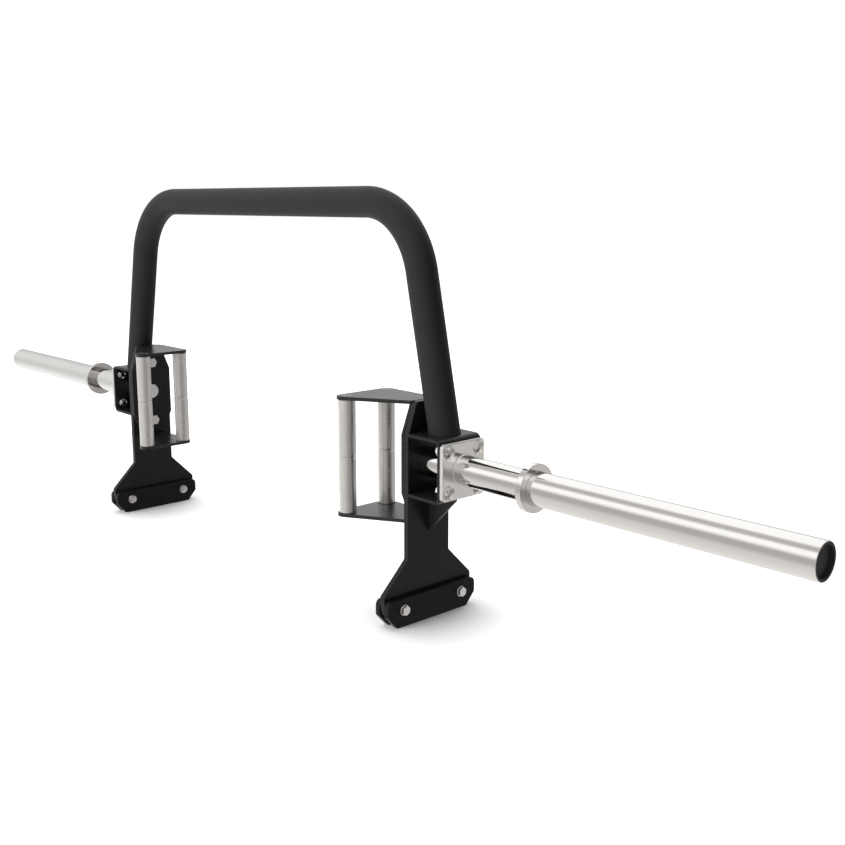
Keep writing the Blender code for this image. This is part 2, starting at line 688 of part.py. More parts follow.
def add_sleeve(side):
    """Turning sleeve with its collar, two bushings and end cap."""
    end = SLEEVE_END_X
    cap_seat = end - CAP_FLANGE - SEAT_GAP
    cap_bore = CAP_RADIUS + HOLE_GAP
    profile = [
        (SLEEVE_X, SLEEVE_RADIUS),
        (end - SLEEVE_EDGE, SLEEVE_RADIUS),
        (end, SLEEVE_RADIUS - SLEEVE_EDGE),
        (end, cap_bore),
        (cap_seat, cap_bore),
        (cap_seat, SLEEVE_BORE),
        (SLEEVE_X, SLEEVE_BORE),
    ]
    bm = turned("X", axis_point(), profile, SHAFT_SIDES, hollow=True)
    side.add("sleeve", bm, (SLEEVE_X, 0, AXIS_HEIGHT), "chrome", side.turning)

    bore = SLEEVE_RADIUS + HOLE_GAP
    edge = COLLAR_EDGE
    collar = [
        (SLEEVE_X, COLLAR_RADIUS - edge),
        (SLEEVE_X + edge, COLLAR_RADIUS),
        (COLLAR_FACE_X - edge, COLLAR_RADIUS),
        (COLLAR_FACE_X, COLLAR_RADIUS - edge),
        (COLLAR_FACE_X, bore),
        (SLEEVE_X, bore),
    ]
    bm = turned("X", axis_point(), collar, SHAFT_SIDES, hollow=True)
    side.add("collar", bm, (SLEEVE_X, 0, AXIS_HEIGHT), "satin_steel", side.turning)

    outer_end = SHAFT_END_X - CIRCLIP_INSET - CIRCLIP_THICKNESS - 4 * SEAT_GAP
    places = {
        "inner_bushing": SLEEVE_X + BUSHING_INSET,
        "outer_bushing": outer_end - BUSHING_LENGTH,
    }
    for name, low in places.items():
        high = low + BUSHING_LENGTH
        outer = SLEEVE_BORE - HOLE_GAP
        inner = SHAFT_RADIUS + TURN_GAP
        ring = [(low, outer), (high, outer), (high, inner), (low, inner)]
        bm = turned("X", axis_point(), ring, SHAFT_SIDES, hollow=True)
        side.add(name, bm, (low, 0, AXIS_HEIGHT), "bronze", side.turning)

    face = end - SEAT_GAP
    back = face - CAP_FLANGE + SEAT_GAP
    rim = CAP_RADIUS - CAP_RIM
    cap = [
        (back - CAP_PLUG, SLEEVE_BORE - HOLE_GAP),
        (back, SLEEVE_BORE - HOLE_GAP),
        (back, CAP_RADIUS),
        (face, CAP_RADIUS),
        (face, rim),
        (face - CAP_DISH, rim),
    ]
    bm = turned("X", axis_point(), cap, SHAFT_SIDES)
    side.add("end_cap", bm, (end, 0, AXIS_HEIGHT), "black_plastic", side.turning)


def arch_path():
    """Axis of the arch from the right foot to the left one: points and directions in XZ."""
    foot_x = (BRACKET_X + BRACKET_FACE_X) / 2
    foot = Vector((foot_x, BRACKET_TOP + SEAT_GAP))
    corner = Vector((foot_x - ARCH_INSET, BRACKET_TOP + SEAT_GAP + ARCH_RISE))
    up = (corner - foot).normalized()
    level = Vector((-1.0, 0.0))
    turn = up.angle(level)
    run = ARCH_BEND * math.tan(turn / 2)
    side_way = Vector((-up.y, up.x))
    centre = corner - up * run + side_way * ARCH_BEND
    half = [(foot, up)]
    for step in range(ARCH_BEND_STEPS + 1):
        angle = turn * step / ARCH_BEND_STEPS
        place = centre - side_way * ARCH_BEND * math.cos(angle) + up * ARCH_BEND * math.sin(angle)
        half.append((place, up * math.cos(angle) + side_way * math.sin(angle)))
    other = [(Vector((-p.x, p.y)), Vector((d.x, -d.y))) for p, d in reversed(half)]
    return half + other


def tube_loop(bm, place, way, radius, level=False):
    """Corners of one round section of the arch, cut square to its axis or level."""
    across = Vector((way.y, -way.x))
    loop = []
    for y, reach in circle((0, 0), radius, TUBE_SIDES):
        spot = place + across * reach
        if level:
            spot += way * (place.y - spot.y) / way.y
        loop.append(bm.verts.new((spot.x, y, spot.y)))
    return loop


def add_arch():
    """Bent tube over the user, open at both feet, which are cut level on the brackets."""
    path = arch_path()
    last = len(path) - 1
    bm = bmesh.new()
    skins = []
    for radius in (ARCH_RADIUS, ARCH_RADIUS - ARCH_WALL):
        loops = []
        for index, (place, way) in enumerate(path):
            loops.append(tube_loop(bm, place, way, radius, level=index in (0, last)))
        for near, far in zip(loops, loops[1:]):
            add_wall(bm, near, far)
        skins.append(loops)
    add_wall(bm, skins[0][0], skins[1][0])
    add_wall(bm, skins[0][-1], skins[1][-1])
    top = path[len(path) // 2][0].y
    make_object("arch_tube", bm, (0, 0, top), "powder_coat")


def build():
    """Empty the scene and model both sides and the arch."""
    for obj in list(bpy.data.objects):
        bpy.data.objects.remove(obj, do_unlink=True)
    bpy.context.scene.unit_settings.system = "METRIC"
    add_arch()
    for name, sign in (("right", 1), ("left", -1)):
        side = Side(name, sign)
        add_leg(side)
        add_foot_pads(side)
        add_foot_bolts(side)
        add_bracket(side)
        add_gusset(side)
        add_handle_plates(side)
        add_back_plate(side)
        add_handle_bolts(side)
        add_grips(side)
        add_flange(side)
        add_flange_screws(side)
        add_shaft(side)
        add_hub(side)
        add_sleeve(side)


build()
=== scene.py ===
"""Finished look of the open trap bar, on a white studio floor.

Every piece is modelled for the right side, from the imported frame's own boxes, and each has a
mirrored twin on the left. Sizes are in metres.
"""
import math

import bmesh
import bpy
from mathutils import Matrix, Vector


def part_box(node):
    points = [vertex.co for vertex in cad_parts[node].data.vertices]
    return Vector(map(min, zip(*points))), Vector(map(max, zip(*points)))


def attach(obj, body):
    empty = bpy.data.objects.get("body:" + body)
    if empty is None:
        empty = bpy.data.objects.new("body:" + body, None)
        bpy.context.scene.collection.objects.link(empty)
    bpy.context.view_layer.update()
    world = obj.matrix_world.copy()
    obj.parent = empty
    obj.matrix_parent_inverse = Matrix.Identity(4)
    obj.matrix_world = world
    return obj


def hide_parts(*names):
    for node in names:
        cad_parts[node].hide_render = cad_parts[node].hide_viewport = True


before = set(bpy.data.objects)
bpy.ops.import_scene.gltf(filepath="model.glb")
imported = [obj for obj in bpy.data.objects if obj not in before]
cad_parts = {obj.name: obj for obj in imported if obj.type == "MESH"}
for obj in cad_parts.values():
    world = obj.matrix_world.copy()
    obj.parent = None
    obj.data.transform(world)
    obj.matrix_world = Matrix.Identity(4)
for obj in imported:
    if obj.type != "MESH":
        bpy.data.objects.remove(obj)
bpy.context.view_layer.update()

X, Y, Z = 0, 1, 2

# Fits
GAP = 0.0002                # left round a piece in its hole
TOUCH = 0.0001              # left between pieces that lie close on each other
PAST = 0.01                 # how far a drill stands past a plate
PAST_NUT = 0.001            # and past a nut or a countersink
SHARP = math.radians(32)    # edges sharper than this are broken and stay crisp

# Widths of the broken edges
LEG_EDGE = 0.0008
PAD_EDGE = 0.0009
SHEET_EDGE = 0.0006
PLATE_EDGE = 0.0005
FASTENER_EDGE = 0.0003
FOOT_BOLT_EDGE = 0.00025
FLANGE_EDGE = 0.0011
COLLAR_EDGE = 0.0010
CAP_EDGE = 0.0008

# Sleeve axis and grip axes
AXIS_HEIGHT = 0.2565
AXIS = (0, 0, AXIS_HEIGHT)
GRIP_X = 0.3293
FRONT_GRIP_Y = -0.0709
REAR_GRIP_Y = 0.0123

# Handle
GRIP_RADIUS = 0.0140
GRIP_CLEAR = 0.1860
SPIGOT_RADIUS = 0.0110
GROOVE_WIDTH = 0.0040
GROOVE_DEPTH = 0.0006
GRIP_EDGE = 0.0008
KNURL_COUNT = 72
SPIGOT_EDGE = 0.0006
HANDLE_CORNER = 0.0148
HANDLE_NECK = 0.0540
HANDLE_NECK_CORNER = 0.0080
HANDLE_FRONT = -0.0965      # where the slanted front edge would meet the inner one
BACK_PLATE_STRAIGHT = 0.0940
HANDLE_BOLT_SPACING = 0.1250
HANDLE_BOLT_FLATS = 0.0190

# Leg plate and foot
LEG_WIDTH = 0.0888
LEG_TOP_WIDTH = 0.0522
LEG_TOP_CORNER = 0.0080
LEG_SHOULDER = 0.3010
LEG_SHOULDER_CORNER = 0.0120
FLARE_TOP = 0.1030
FLARE_END = 0.0530
FLARE_CORNER = 0.0060
FOOT_TOE_HEIGHT = 0.0400
FOOT_TOE_TAPER = 0.0022
FOOT_CHAMFER = 0.0190
PAD_CHAMFER_HEIGHT = 0.0210
PAD_TOP_CORNER = 0.0095
PAD_FOOT_CORNER = 0.0030
FOOT_BOLT_SPACING = 0.1244
FOOT_BOLT_HEIGHT = 0.0283
FOOT_BOLT_RADIUS = 0.0040
FOOT_BOLT_FLATS = 0.0142
FOOT_BOLT_COLLAR_RADIUS = 0.0088
FOOT_BOLT_COLLAR = 0.0014
FOOT_BOLT_NECK_RADIUS = 0.0066
FOOT_BOLT_SLOPE = 0.0010    # height of the cone between collar and neck
THREAD_DEPTH = 0.0005

# Bracket, gusset and arch
BRACKET_SHEET = 0.0050
BRACKET_BEND = 0.0100
GUSSET_TIP = 0.0020
ARCH_RADIUS = 0.0250
ARCH_WALL = 0.0030
ARCH_BEND = 0.1330
ARCH_RISE = 0.3500
ARCH_INSET = 0.0748

# Flange, screws, shaft, hub, collar, sleeve and cap
FLANGE_HALF = 0.04425
FLANGE_FACE = 0.5232
FLANGE_CORNER = 0.0060
SCREW_SPACING = 0.0625
SCREW_RADIUS = 0.0050
SCREW_SINK_RADIUS = 0.0115
SCREW_INSET = 0.0028
SCREW_SOCKET_FLATS = 0.0062
SCREW_SOCKET_DEPTH = 0.0040
SCREW_DISH = 0.0020
SCREW_DISH_RADIUS = 0.0048
SCREW_MOUTH = ((0.0026, 0.0024), (0.0013, 0.0047))      # depths and radii of the socket's cone
NUT_FLATS = 0.0170
NUT_HEIGHT = 0.0080
NUT_CROWN = 0.0028
NUT_CROWN_RADIUS = 0.0078
SHAFT_RADIUS = 0.0150
SHAFT_BORE = 0.0154
SHAFT_EDGE = 0.0009
CLIP_SEAT = 0.0012
CLIP_PLAY = 0.0003
HUB_RADIUS = 0.02375
HUB_FILLET = 0.0018
HUB_EDGE = 0.0005
HUB_ROOT = 0.5240           # middle of the fillet at the flange
HUB_MIDDLE = 0.6000         # flange on one side of it, collar on the other
COLLAR_RADIUS = 0.0363
SLEEVE_RADIUS = 0.0250
SLEEVE_BORE = 0.0193
SLEEVE_EDGE = 0.0008
CAP_RIM = 0.0032
CAP_DISH = 0.0045
CAP_DRAFT = 0.0010
CAP_NECK = 0.0080           # length of the part inside the bore
CAP_GAP = 0.0003

# Camera
CAMERA_PLACE = (1.65009, -1.13035, 0.65431)
CAMERA_TURN = (78.52, -0.115, 47.205)
CAMERA_LENS = 45.912

# Floor and sky
# Round each foot the floor's camera-only glow is held low, so the shadow shows there; away from the
# feet that glow is painted light over the shadow
FOOT_X = 0.44               # middle of a foot, where the shadow is deepest
FOOT_REACH = 0.03           # half the length of that deepest part
FLOOR_LIFT = (0.03, 0.47)   # light that only the camera sees, there and beside it
SKY_LIGHT = (0.55, 0.55, 0.55)
SKY_LIGHT_RIGHT = (0.06, 0.06, 0.06)
WARM = (1.0, 0.958, 0.928)
WHITE = (1.0, 0.99, 0.975)
# Studio that metal mirrors, in flat parts that blend into each other: from and to, in degrees
# round the sleeve axis with 0 overhead and 90 in front, and the level of each
MIDDLE_STUDIO = (
    (-180, -180, 0.77),     # floor
    (-145, -145, 0.85),
    (-95, -85, 0.45),       # horizon behind
    (-65, -5, 1.05),        # box overhead
    (12, 28, 0.50),
    (43, 60, 1.05),         # box in front
    (80, 102, 0.45),        # horizon in front
    (125, 125, 0.65),
    (180, 180, 0.77),       # floor
)
LEFT_STUDIO = (
    (-180, -140, 0.93),     # floor
    (-75, -50, 0.58),       # wall behind
    (0, 45, 0.75),          # ceiling
    (90, 108, 0.65),        # horizon in front
    (170, 180, 0.93),       # floor
)
RIGHT_STUDIO = (
    (-180, -180, 0.35),     # floor
    (-116, -101, 0.56),     # wall behind
    (-85, -36, 0.12),       # dark cloth above it
    (4, 26, 0.90),          # box overhead
    (38, 76, 0.60),         # wall in front
    (112, 140, 0.28),
    (180, 180, 0.35),       # floor
)


def put_down():
    """Leave edit mode with nothing selected."""
    if bpy.context.object and bpy.context.object.mode == "EDIT":
        bpy.ops.object.mode_set(mode="OBJECT")
    bpy.ops.object.select_all(action="DESELECT")


def take_up(piece):
    """Make a piece the only one selected."""
    put_down()
    piece.select_set(True)
    bpy.context.view_layer.objects.active = piece


def open_up(name):
    """Name the primitive just added, settle its place in its mesh and open it for editing."""
    piece = bpy.context.active_object
    piece.name = name
    bpy.ops.object.transform_apply(location=True, rotation=True, scale=True)
    bpy.ops.object.mode_set(mode="EDIT")
    return piece


def block(name, low, high):
    """Cube primitive between two corners, open for editing."""
    put_down()
    bpy.ops.mesh.primitive_cube_add(size=1, location=(low + high) / 2, scale=high - low)
    return open_up(name)


def ring(name, along, place, radius, sides):
    """Circle primitive square to an axis, open for editing with all of it selected."""
    put_down()
    tilt = (0, math.pi / 2, 0) if along == X else (0, 0, 0)
    bpy.ops.mesh.primitive_circle_add(vertices=sides, radius=radius, location=place, rotation=tilt)
    piece = open_up(name)
    bpy.ops.mesh.select_all(action="SELECT")
    return piece


def pick(piece, kind, test):
    """Select just the vertices, edges or faces whose middle passes the test."""
    bpy.ops.mesh.select_mode(type=kind)
    bpy.ops.mesh.select_all(action="DESELECT")
    mesh = bmesh.from_edit_mesh(piece.data)
    if kind == "VERT":
        for vert in mesh.verts:
            vert.select_set(test(vert.co))
    elif kind == "EDGE":
        for edge in mesh.edges:
            edge.select_set(test((edge.verts[0].co + edge.verts[1].co) / 2, edge))
    else:
        for face in mesh.faces:
            face.select_set(test(face.calc_center_median(), face.normal))
    mesh.select_flush_mode()
    bmesh.update_edit_mesh(piece.data)


def same(a, b):
    """True where two sizes agree to a hundredth of a millimetre."""
    return abs(a - b) < 1e-5


def cut_level(*heights):
    """Cut the open piece all round at these heights."""
    for height in heights:
        bpy.ops.mesh.select_all(action="SELECT")
        bpy.ops.mesh.bisect(plane_co=(0, 0, height), plane_no=(0, 0, 1))


def set_half_width(piece, height, half):
    """Widen or narrow the open piece at one height, both ways from the middle."""
    pick(piece, "VERT", lambda p: same(p.z, height))
    mesh = bmesh.from_edit_mesh(piece.data)
    now = max(vert.co.y for vert in mesh.verts if vert.select)
    bpy.ops.transform.resize(value=(1, half / now, 1), center_override=(0, 0, height))


def round_corners(piece, along, test, radius, steps=8):
    """Round the edges that run along an axis and pass the test, to one radius."""

    def chosen(middle, edge):
        run = edge.verts[1].co - edge.verts[0].co
        return abs(run[along]) > 0.99 * run.length and test(middle)

    pick(piece, "EDGE", chosen)
    mesh = bmesh.from_edit_mesh(piece.data)
    turn = next(edge.calc_face_angle() for edge in mesh.edges if edge.select)
    bpy.ops.mesh.bevel(offset=radius * math.tan(turn / 2), segments=steps, affect="EDGES")


def close_up():
    """Merge doubles, turn every face outwards and leave edit mode."""
    bpy.ops.mesh.select_all(action="SELECT")
    bpy.ops.mesh.remove_doubles(threshold=1e-6)
    bpy.ops.mesh.normals_make_consistent(inside=False)
    bpy.ops.object.mode_set(mode="OBJECT")


def turned(name, along, centre, stations, sides=128, hollow=False):
    """Turned piece: a circle drawn out along its axis and resized at each station (w, radius).
    A hollow one comes back to its first station."""
    place = Vector(centre)
    start, *others = stations
    place[along], radius = start
    piece = ring(name, along, place, radius, sides)
    if hollow:
        others.append(start)
    else:
        bpy.ops.mesh.edge_face_add()
    for w, wanted in others:
        step = Vector()
        step[along] = w - place[along]
        bpy.ops.mesh.extrude_region_move(TRANSFORM_OT_translate={"value": step})
        place[along] = w
        if wanted != radius:
            bpy.ops.transform.resize(value=(wanted / radius,) * 3, center_override=place)
            radius = wanted
    close_up()
    return piece


def soften(piece, width, steps=3):
    """Break every sharp edge of a piece."""
    take_up(piece)
    edges = piece.modifiers.new("broken_edges", "BEVEL")
    edges.width = width
    edges.segments = steps
    edges.limit_method = "ANGLE"
    edges.angle_limit = SHARP
    bpy.ops.object.modifier_apply(modifier=edges.name)


def combine(piece, tool, way):
    """Cut a tool out of a piece, or keep what they share, and throw the tool away."""
    take_up(piece)
    cut = piece.modifiers.new("cut", "BOOLEAN")
    cut.object = tool
    cut.operation = way
    cut.solver = "EXACT"
    bpy.ops.object.modifier_apply(modifier=cut.name)
    bpy.data.objects.remove(tool)


def drill(piece, along, centre, radius, low, high, sides=128, past=PAST):
    """Round hole right through a piece that reaches from low to high."""
    stations = [(low - past, radius), (high + past, radius)]
    combine(piece, turned("drill", along, centre, stations, sides), "DIFFERENCE")


def copy_to(piece, step):
    """Copy of a piece with its own mesh, moved by a step."""
    take_up(piece)
    bpy.ops.object.duplicate(linked=False)
    other = bpy.context.active_object
    bpy.ops.object.mode_set(mode="EDIT")
    bpy.ops.mesh.select_all(action="SELECT")
    bpy.ops.transform.translate(value=step)
    bpy.ops.object.mode_set(mode="OBJECT")
    return other


def twin_of(piece):
    """Mirror image of a piece on the other side of the bar."""
    take_up(piece)
    bpy.ops.object.duplicate(linked=False)
    twin = bpy.context.active_object
    bpy.ops.object.mode_set(mode="EDIT")
    bpy.ops.mesh.select_all(action="SELECT")
    bpy.ops.transform.resize(value=(-1, 1, 1), center_override=(0, 0, 0))
    close_up()
    return twin


def join(*pieces):
    """Several closed shells as one piece."""
    take_up(pieces[0])
    for piece in pieces[1:]:
        piece.select_set(True)
    bpy.ops.object.join()
    return pieces[0]


def shade(piece):
    """Smooth shading that keeps flat faces flat."""
    take_up(piece)
    bpy.ops.object.shade_smooth_by_angle(angle=SHARP)
    flat = piece.modifiers.new("flat_faces", "WEIGHTED_NORMAL")
    flat.keep_sharp = True
    bpy.ops.object.modifier_apply(modifier=flat.name)


def fit(piece, node, finish, turning=False):
    """Give a right-hand piece its finish and its place in the frame, and its twin the same."""
    piece.data.materials.clear()
    piece.data.materials.append(finish)
    for side, part in (("left", twin_of(piece)), ("right", piece)):
        shade(part)
        part.name = f"{node}_{side}"
        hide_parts(f"{side}_{node}")
        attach(part, f"{side}_sleeve" if turning else "frame")


# Node groups and finishes


class Nodes:
    """One node tree being wired: each call adds a node, and what it is given goes to its inputs."""

    def __init__(self, tree):
        self.tree = tree

    def __call__(self, kind, *inputs, out=0, **settings):
        node = self.tree.nodes.new(kind)
        for name, value in settings.items():
            setattr(node, name, value)
        for index, value in enumerate(inputs):
            self.give(node.inputs[index], value)
        return node.outputs[out]

    def give(self, socket, value):
        """Link an output to a socket, or write a plain value on it."""
        if isinstance(value, bpy.types.NodeSocket):
            self.tree.links.new(value, socket)
        elif value is not None:
            socket.default_value = value

    def math(self, way, *inputs):
        return self("ShaderNodeMath", *inputs, operation=way)

    def plus(self, base, extra, share):
        """A value with a share of another added."""
        return self.math("ADD", base, self.math("MULTIPLY", extra, share))

    def length(self, along, up):
        """Length of two legs at right angles."""
        return self.math("SQRT", self.plus(self.math("MULTIPLY", along, along), up, up))

    def spread(self, value, low, high, to_low, to_high):
        """Map one range onto another, held at its ends."""
        return self("ShaderNodeMapRange", value, low, high, to_low, to_high)

    def blend(self, amount, first, second):
        """Mix of two colours."""
        node = self.tree.nodes.new("ShaderNodeMix")
        node.data_type = "RGBA"
        self.give(node.inputs["Factor"], amount)
        self.give(node.inputs[6], first)
        self.give(node.inputs[7], second)
        return node.outputs[2]

    def tint(self, amount, dark, light):
        """Colour between two, by an amount from 0 to 1."""
        return self.blend(amount, (*dark, 1.0), (*light, 1.0))

    def tint_over(self, amount, under, over):
        """One colour laid over what is there, by an amount from 0 to 1."""
        return self.blend(amount, under, (*over, 1.0))

    def noise(self, vector, scale, detail=2.0, kind="3D"):
        node = self.tree.nodes.new("ShaderNodeTexNoise")
        node.noise_dimensions = kind
        self.give(node.inputs["W" if kind == "1D" else "Vector"], vector)
        self.give(node.inputs["Scale"], scale)
        self.give(node.inputs["Detail"], detail)
        return node.outputs["Fac"]

    def use(self, group, **inputs):
        """Place a node group; give its inputs by name."""
        node = self.tree.nodes.new("ShaderNodeGroup")
        node.node_tree = group
        for name, value in inputs.items():
            self.give(node.inputs[name], value)
        return node.outputs


def new_group(name, inputs, outputs):
    """Empty node group with named sockets: its wiring, its inputs and its output node."""
    group = bpy.data.node_groups.new(name, "ShaderNodeTree")
    for socket, (kind, value) in inputs.items():
        made = group.interface.new_socket(socket, in_out="INPUT", socket_type="NodeSocket" + kind)
        if value is not None:
            made.default_value = value
    for socket in outputs:
        group.interface.new_socket(socket, in_out="OUTPUT", socket_type="NodeSocketFloat")
    given = group.nodes.new("NodeGroupInput").outputs
    result = group.nodes.new("NodeGroupOutput").inputs
    return group, Nodes(group), given, result


def coat_texture():
    """Fine orange peel of a sprayed or moulded skin, with a slow change of tone under it."""
    group, add, given, result = new_group(
        "coat_texture",
        {"Vector": ("Vector", None), "Peel_Size": ("Float", 0.0012), "Tone_Size": ("Float", 0.09)},
        ("Height", "Tone", "Gloss"),
    )
    peel = add.noise(given["Vector"], add.math("DIVIDE", 1.0, given["Peel_Size"]), 1.5)
    fine = add.noise(given["Vector"], add.math("DIVIDE", 3.1, given["Peel_Size"]), 1.0)
    slow = add.noise(given["Vector"], add.math("DIVIDE", 1.0, given["Tone_Size"]), 3.0)
    add.give(result["Height"], add.plus(peel, fine, 0.35))
    add.give(result["Tone"], add.plus(add.math("MULTIPLY", slow, 0.7), fine, 0.3))
    add.give(result["Gloss"], add.plus(add.math("MULTIPLY", peel, 0.5), slow, 0.5))
    return group


def turning_marks():
    """Lines that a lathe tool leaves, from a distance along or across the work."""
    group, add, given, result = new_group(
        "turning_marks",
        {"Distance": ("Float", 0.0), "Spacing": ("Float", 0.0004)},
        ("Height", "Gloss"),
    )
    lines = add.math("DIVIDE", 1.0, given["Spacing"])
    coarse = add.noise(given["Distance"], lines, 2.0, "1D")
    fine = add.noise(given["Distance"], add.math("MULTIPLY", lines, 4.0), 1.0, "1D")
    add.give(result["Height"], add.plus(coarse, fine, 0.4))
    add.give(result["Gloss"], coarse)
    return group


def handling_marks():
    """Faint smears and specks that bare metal picks up."""
    group, add, given, result = new_group(
        "handling_marks",
        {"Vector": ("Vector", None), "Size": ("Float", 0.05)},
        ("Smear", "Speck"),
    )
    scale = add.math("DIVIDE", 1.0, given["Size"])
    smear = add.noise(given["Vector"], scale, 4.0)
    speck = add.noise(given["Vector"], add.math("MULTIPLY", scale, 28.0), 2.0)
    add.give(result["Smear"], add.spread(smear, 0.35, 0.70, 0.0, 1.0))
    add.give(result["Speck"], add.spread(speck, 0.55, 0.75, 0.0, 1.0))
    return group


def knurl():
    """Diamonds pressed by two crossing sets of grooves, from lengths round and along the work."""
    group, add, given, result = new_group(
        "knurl",
        {"Around": ("Float", 0.0), "Along": ("Float", 0.0), "Pitch": ("Float", 0.0012)},
        ("Height",),
    )
    waves = []
    for way in ("ADD", "SUBTRACT"):
        lean = add.math("MULTIPLY", given["Along"], 0.58)
        place = add.math("DIVIDE", add.math(way, given["Around"], lean), given["Pitch"])
        waves.append(add.math("PINGPONG", place, 0.5))
    add.give(result["Height"], add.math("MINIMUM", *waves))
    return group


def new_finish(name, metallic, specular=0.5):
    """Material with a plain shader: its wiring, its shader and the piece's own coordinates."""
    finish = bpy.data.materials.new(name)
    finish.use_nodes = True
    shader = finish.node_tree.nodes["Principled BSDF"].inputs
    shader["Metallic"].default_value = metallic
    shader["Specular IOR Level"].default_value = specular
    add = Nodes(finish.node_tree)
    return finish, add, shader, add("ShaderNodeTexCoord", out="Object")


def bump(add, shader, height, depth, strength=1.0):
    """Feed a height, in metres once multiplied by depth, to the shader's normal."""
    node = add.tree.nodes.new("ShaderNodeBump")
    node.inputs["Strength"].default_value = strength
    node.inputs["Distance"].default_value = depth
    add.give(node.inputs["Height"], height)
    add.give(shader["Normal"], node.outputs["Normal"])


def from_axis(add, place):
    """Distance of a point from the sleeve axis."""
    _, y, z = split(add, place)
    return add.length(y, add.math("SUBTRACT", z, AXIS_HEIGHT))


def split(add, place):
    """The three numbers of a point."""
    node = add.tree.nodes.new("ShaderNodeSeparateXYZ")
    add.give(node.inputs[0], place)
    return node.outputs


GROUPS = {make.__name__: make() for make in (coat_texture, turning_marks, handling_marks, knurl)}


def coated(name, tone, swing, specular, gloss, sizes, depth, strength):
    """Black skin, sprayed or moulded: its mean tone and how far that swings, its sheen, the sizes
    of its peel and of its change of tone, and the height of the peel."""
    finish, add, shader, place = new_finish(name, 0.0, specular)
    coat = add.use(GROUPS["coat_texture"], Vector=place, Peel_Size=sizes[0], Tone_Size=sizes[1])
    dark, light = ([tone * (hue + way * swing) for hue in (1.0, 1.0, 1.02)] for way in (-1, 1))
    add.give(shader["Base Color"], add.tint(coat["Tone"], dark, light))
    add.give(shader["Roughness"], add.spread(coat["Gloss"], 0.3, 0.7, *gloss))
    bump(add, shader, coat["Height"], depth, strength)
    return finish


def powder_coat(name, tone, specular, gloss, peel):
    """Satin black powder coat."""
    return coated(name, tone, 0.14, specular, gloss, (0.0020, 0.12), peel, 0.6)


def black_plastic(name, tone):
    """Moulded black plastic with a fine grain."""
    return coated(name, tone, 0.20, 0.20, (0.40, 0.50), (0.0006, 0.05), 0.00005, 0.5)


def chrome():
    """Bright chrome over turned and polished tube, duller in the corner at the flange."""
    finish, add, shader, place = new_finish("chrome", 1.0)
    x = split(add, place)["X"]
    marks = add.use(GROUPS["turning_marks"], Distance=x, Spacing=0.0009)
    hands = add.use(GROUPS["handling_marks"], Vector=place, Size=0.09)
    bright = add.tint(hands["Smear"], (0.935, 0.932, 0.926), (0.915, 0.910, 0.902))
    root = add.math("ABSOLUTE", add.math("SUBTRACT", add.math("ABSOLUTE", x), HUB_ROOT))
    root = add.spread(root, 0.0013, 0.0021, 1.0, 0.0)
    add.give(shader["Base Color"], add.tint_over(root, bright, (0.93, 0.92, 0.905)))
    rough = add.plus(add.math("MULTIPLY", marks["Gloss"], 0.03), hands["Smear"], 0.02)
    add.give(shader["Roughness"], add.math("ADD", add.plus(rough, root, 0.35), 0.05))
    bump(add, shader, marks["Height"], 0.0000015, 0.5)
    return finish


def turned_faces():
    """Finely turned plate: rings round the sleeve axis that deepen near the tube, sawn edges."""
    finish, add, shader, place = new_finish("turned_faces", 1.0)
    x, y, z = split(add, place)
    distance = from_axis(add, place)
    marks = add.use(GROUPS["turning_marks"], Distance=distance, Spacing=0.0008)
    hands = add.use(GROUPS["handling_marks"], Vector=place, Size=0.03)
    high = add.math("ABSOLUTE", add.math("SUBTRACT", z, AXIS_HEIGHT))
    reach = add.math("MAXIMUM", add.math("ABSOLUTE", y), high)
    edge = add.spread(reach, FLANGE_HALF - 0.0008, FLANGE_HALF - 0.0003, 0.0, 1.0)
    out = add.math("ABSOLUTE", x)
    stop = add.math("GREATER_THAN", out, HUB_MIDDLE)
    rim = add.spread(distance, COLLAR_RADIUS - 0.0008, COLLAR_RADIUS - 0.0003, 0.0, 1.0)
    rim = add.math("MULTIPLY", rim, stop)
    sawn = add.math("MULTIPLY", edge, add.math("SUBTRACT", 1.0, stop))
    # Below the face, in the countersinks and the holes, the plate is rougher and painted a darker
    # tone: painted shade in the recesses
    sunk_painted_shade = add.spread(out, FLANGE_FACE - 0.0006, FLANGE_FACE - 0.0003, 1.0, 0.0)
    face = add.tint(marks["Gloss"], (0.84, 0.828, 0.811), (0.92, 0.91, 0.896))
    face = add.tint_over(sunk_painted_shade, face, (0.80, 0.79, 0.78))
    face = add.tint_over(rim, face, (0.92, 0.915, 0.905))
    add.give(shader["Base Color"], add.tint_over(sawn, face, (0.57, 0.555, 0.535)))
    rough = add.plus(add.spread(marks["Gloss"], 0.25, 0.75, 0.09, 0.15), hands["Smear"], 0.04)
    rough = add.plus(rough, sunk_painted_shade, 0.10)
    rough = add.math("MAXIMUM", rough, add.math("MULTIPLY", sawn, 0.5))
    add.give(shader["Roughness"], add.math("SUBTRACT", rough, add.math("MULTIPLY", rim, 0.06)))
    add.give(shader["Metallic"], add.spread(sawn, 0.0, 1.0, 1.0, 0.35))
    wave = add.math("PINGPONG", add.math("DIVIDE", distance, 0.0020), 0.5)
    near = add.spread(distance, HUB_RADIUS + 0.00125, HUB_RADIUS + 0.00925, 0.35, 0.0)
    bump(add, shader, add.plus(marks["Height"], wave, near), 0.00003, 0.5)
    return finish


def turned_shaft():
    """Plated shaft with the fine lines of turning along it."""
    finish, add, shader, place = new_finish("turned_shaft", 0.45)
    x = split(add, place)["X"]
    marks = add.use(GROUPS["turning_marks"], Distance=x, Spacing=0.0007)
    hands = add.use(GROUPS["handling_marks"], Vector=place, Size=0.03)
    add.give(shader["Base Color"], add.tint(marks["Gloss"], (0.80, 0.795, 0.785),
                                            (0.88, 0.875, 0.865)))
    rough = add.spread(marks["Gloss"], 0.25, 0.75, 0.40, 0.52)
    add.give(shader["Roughness"], add.plus(rough, hands["Smear"], 0.05))
    bump(add, shader, marks["Height"], 0.000012, 0.5)
    return finish


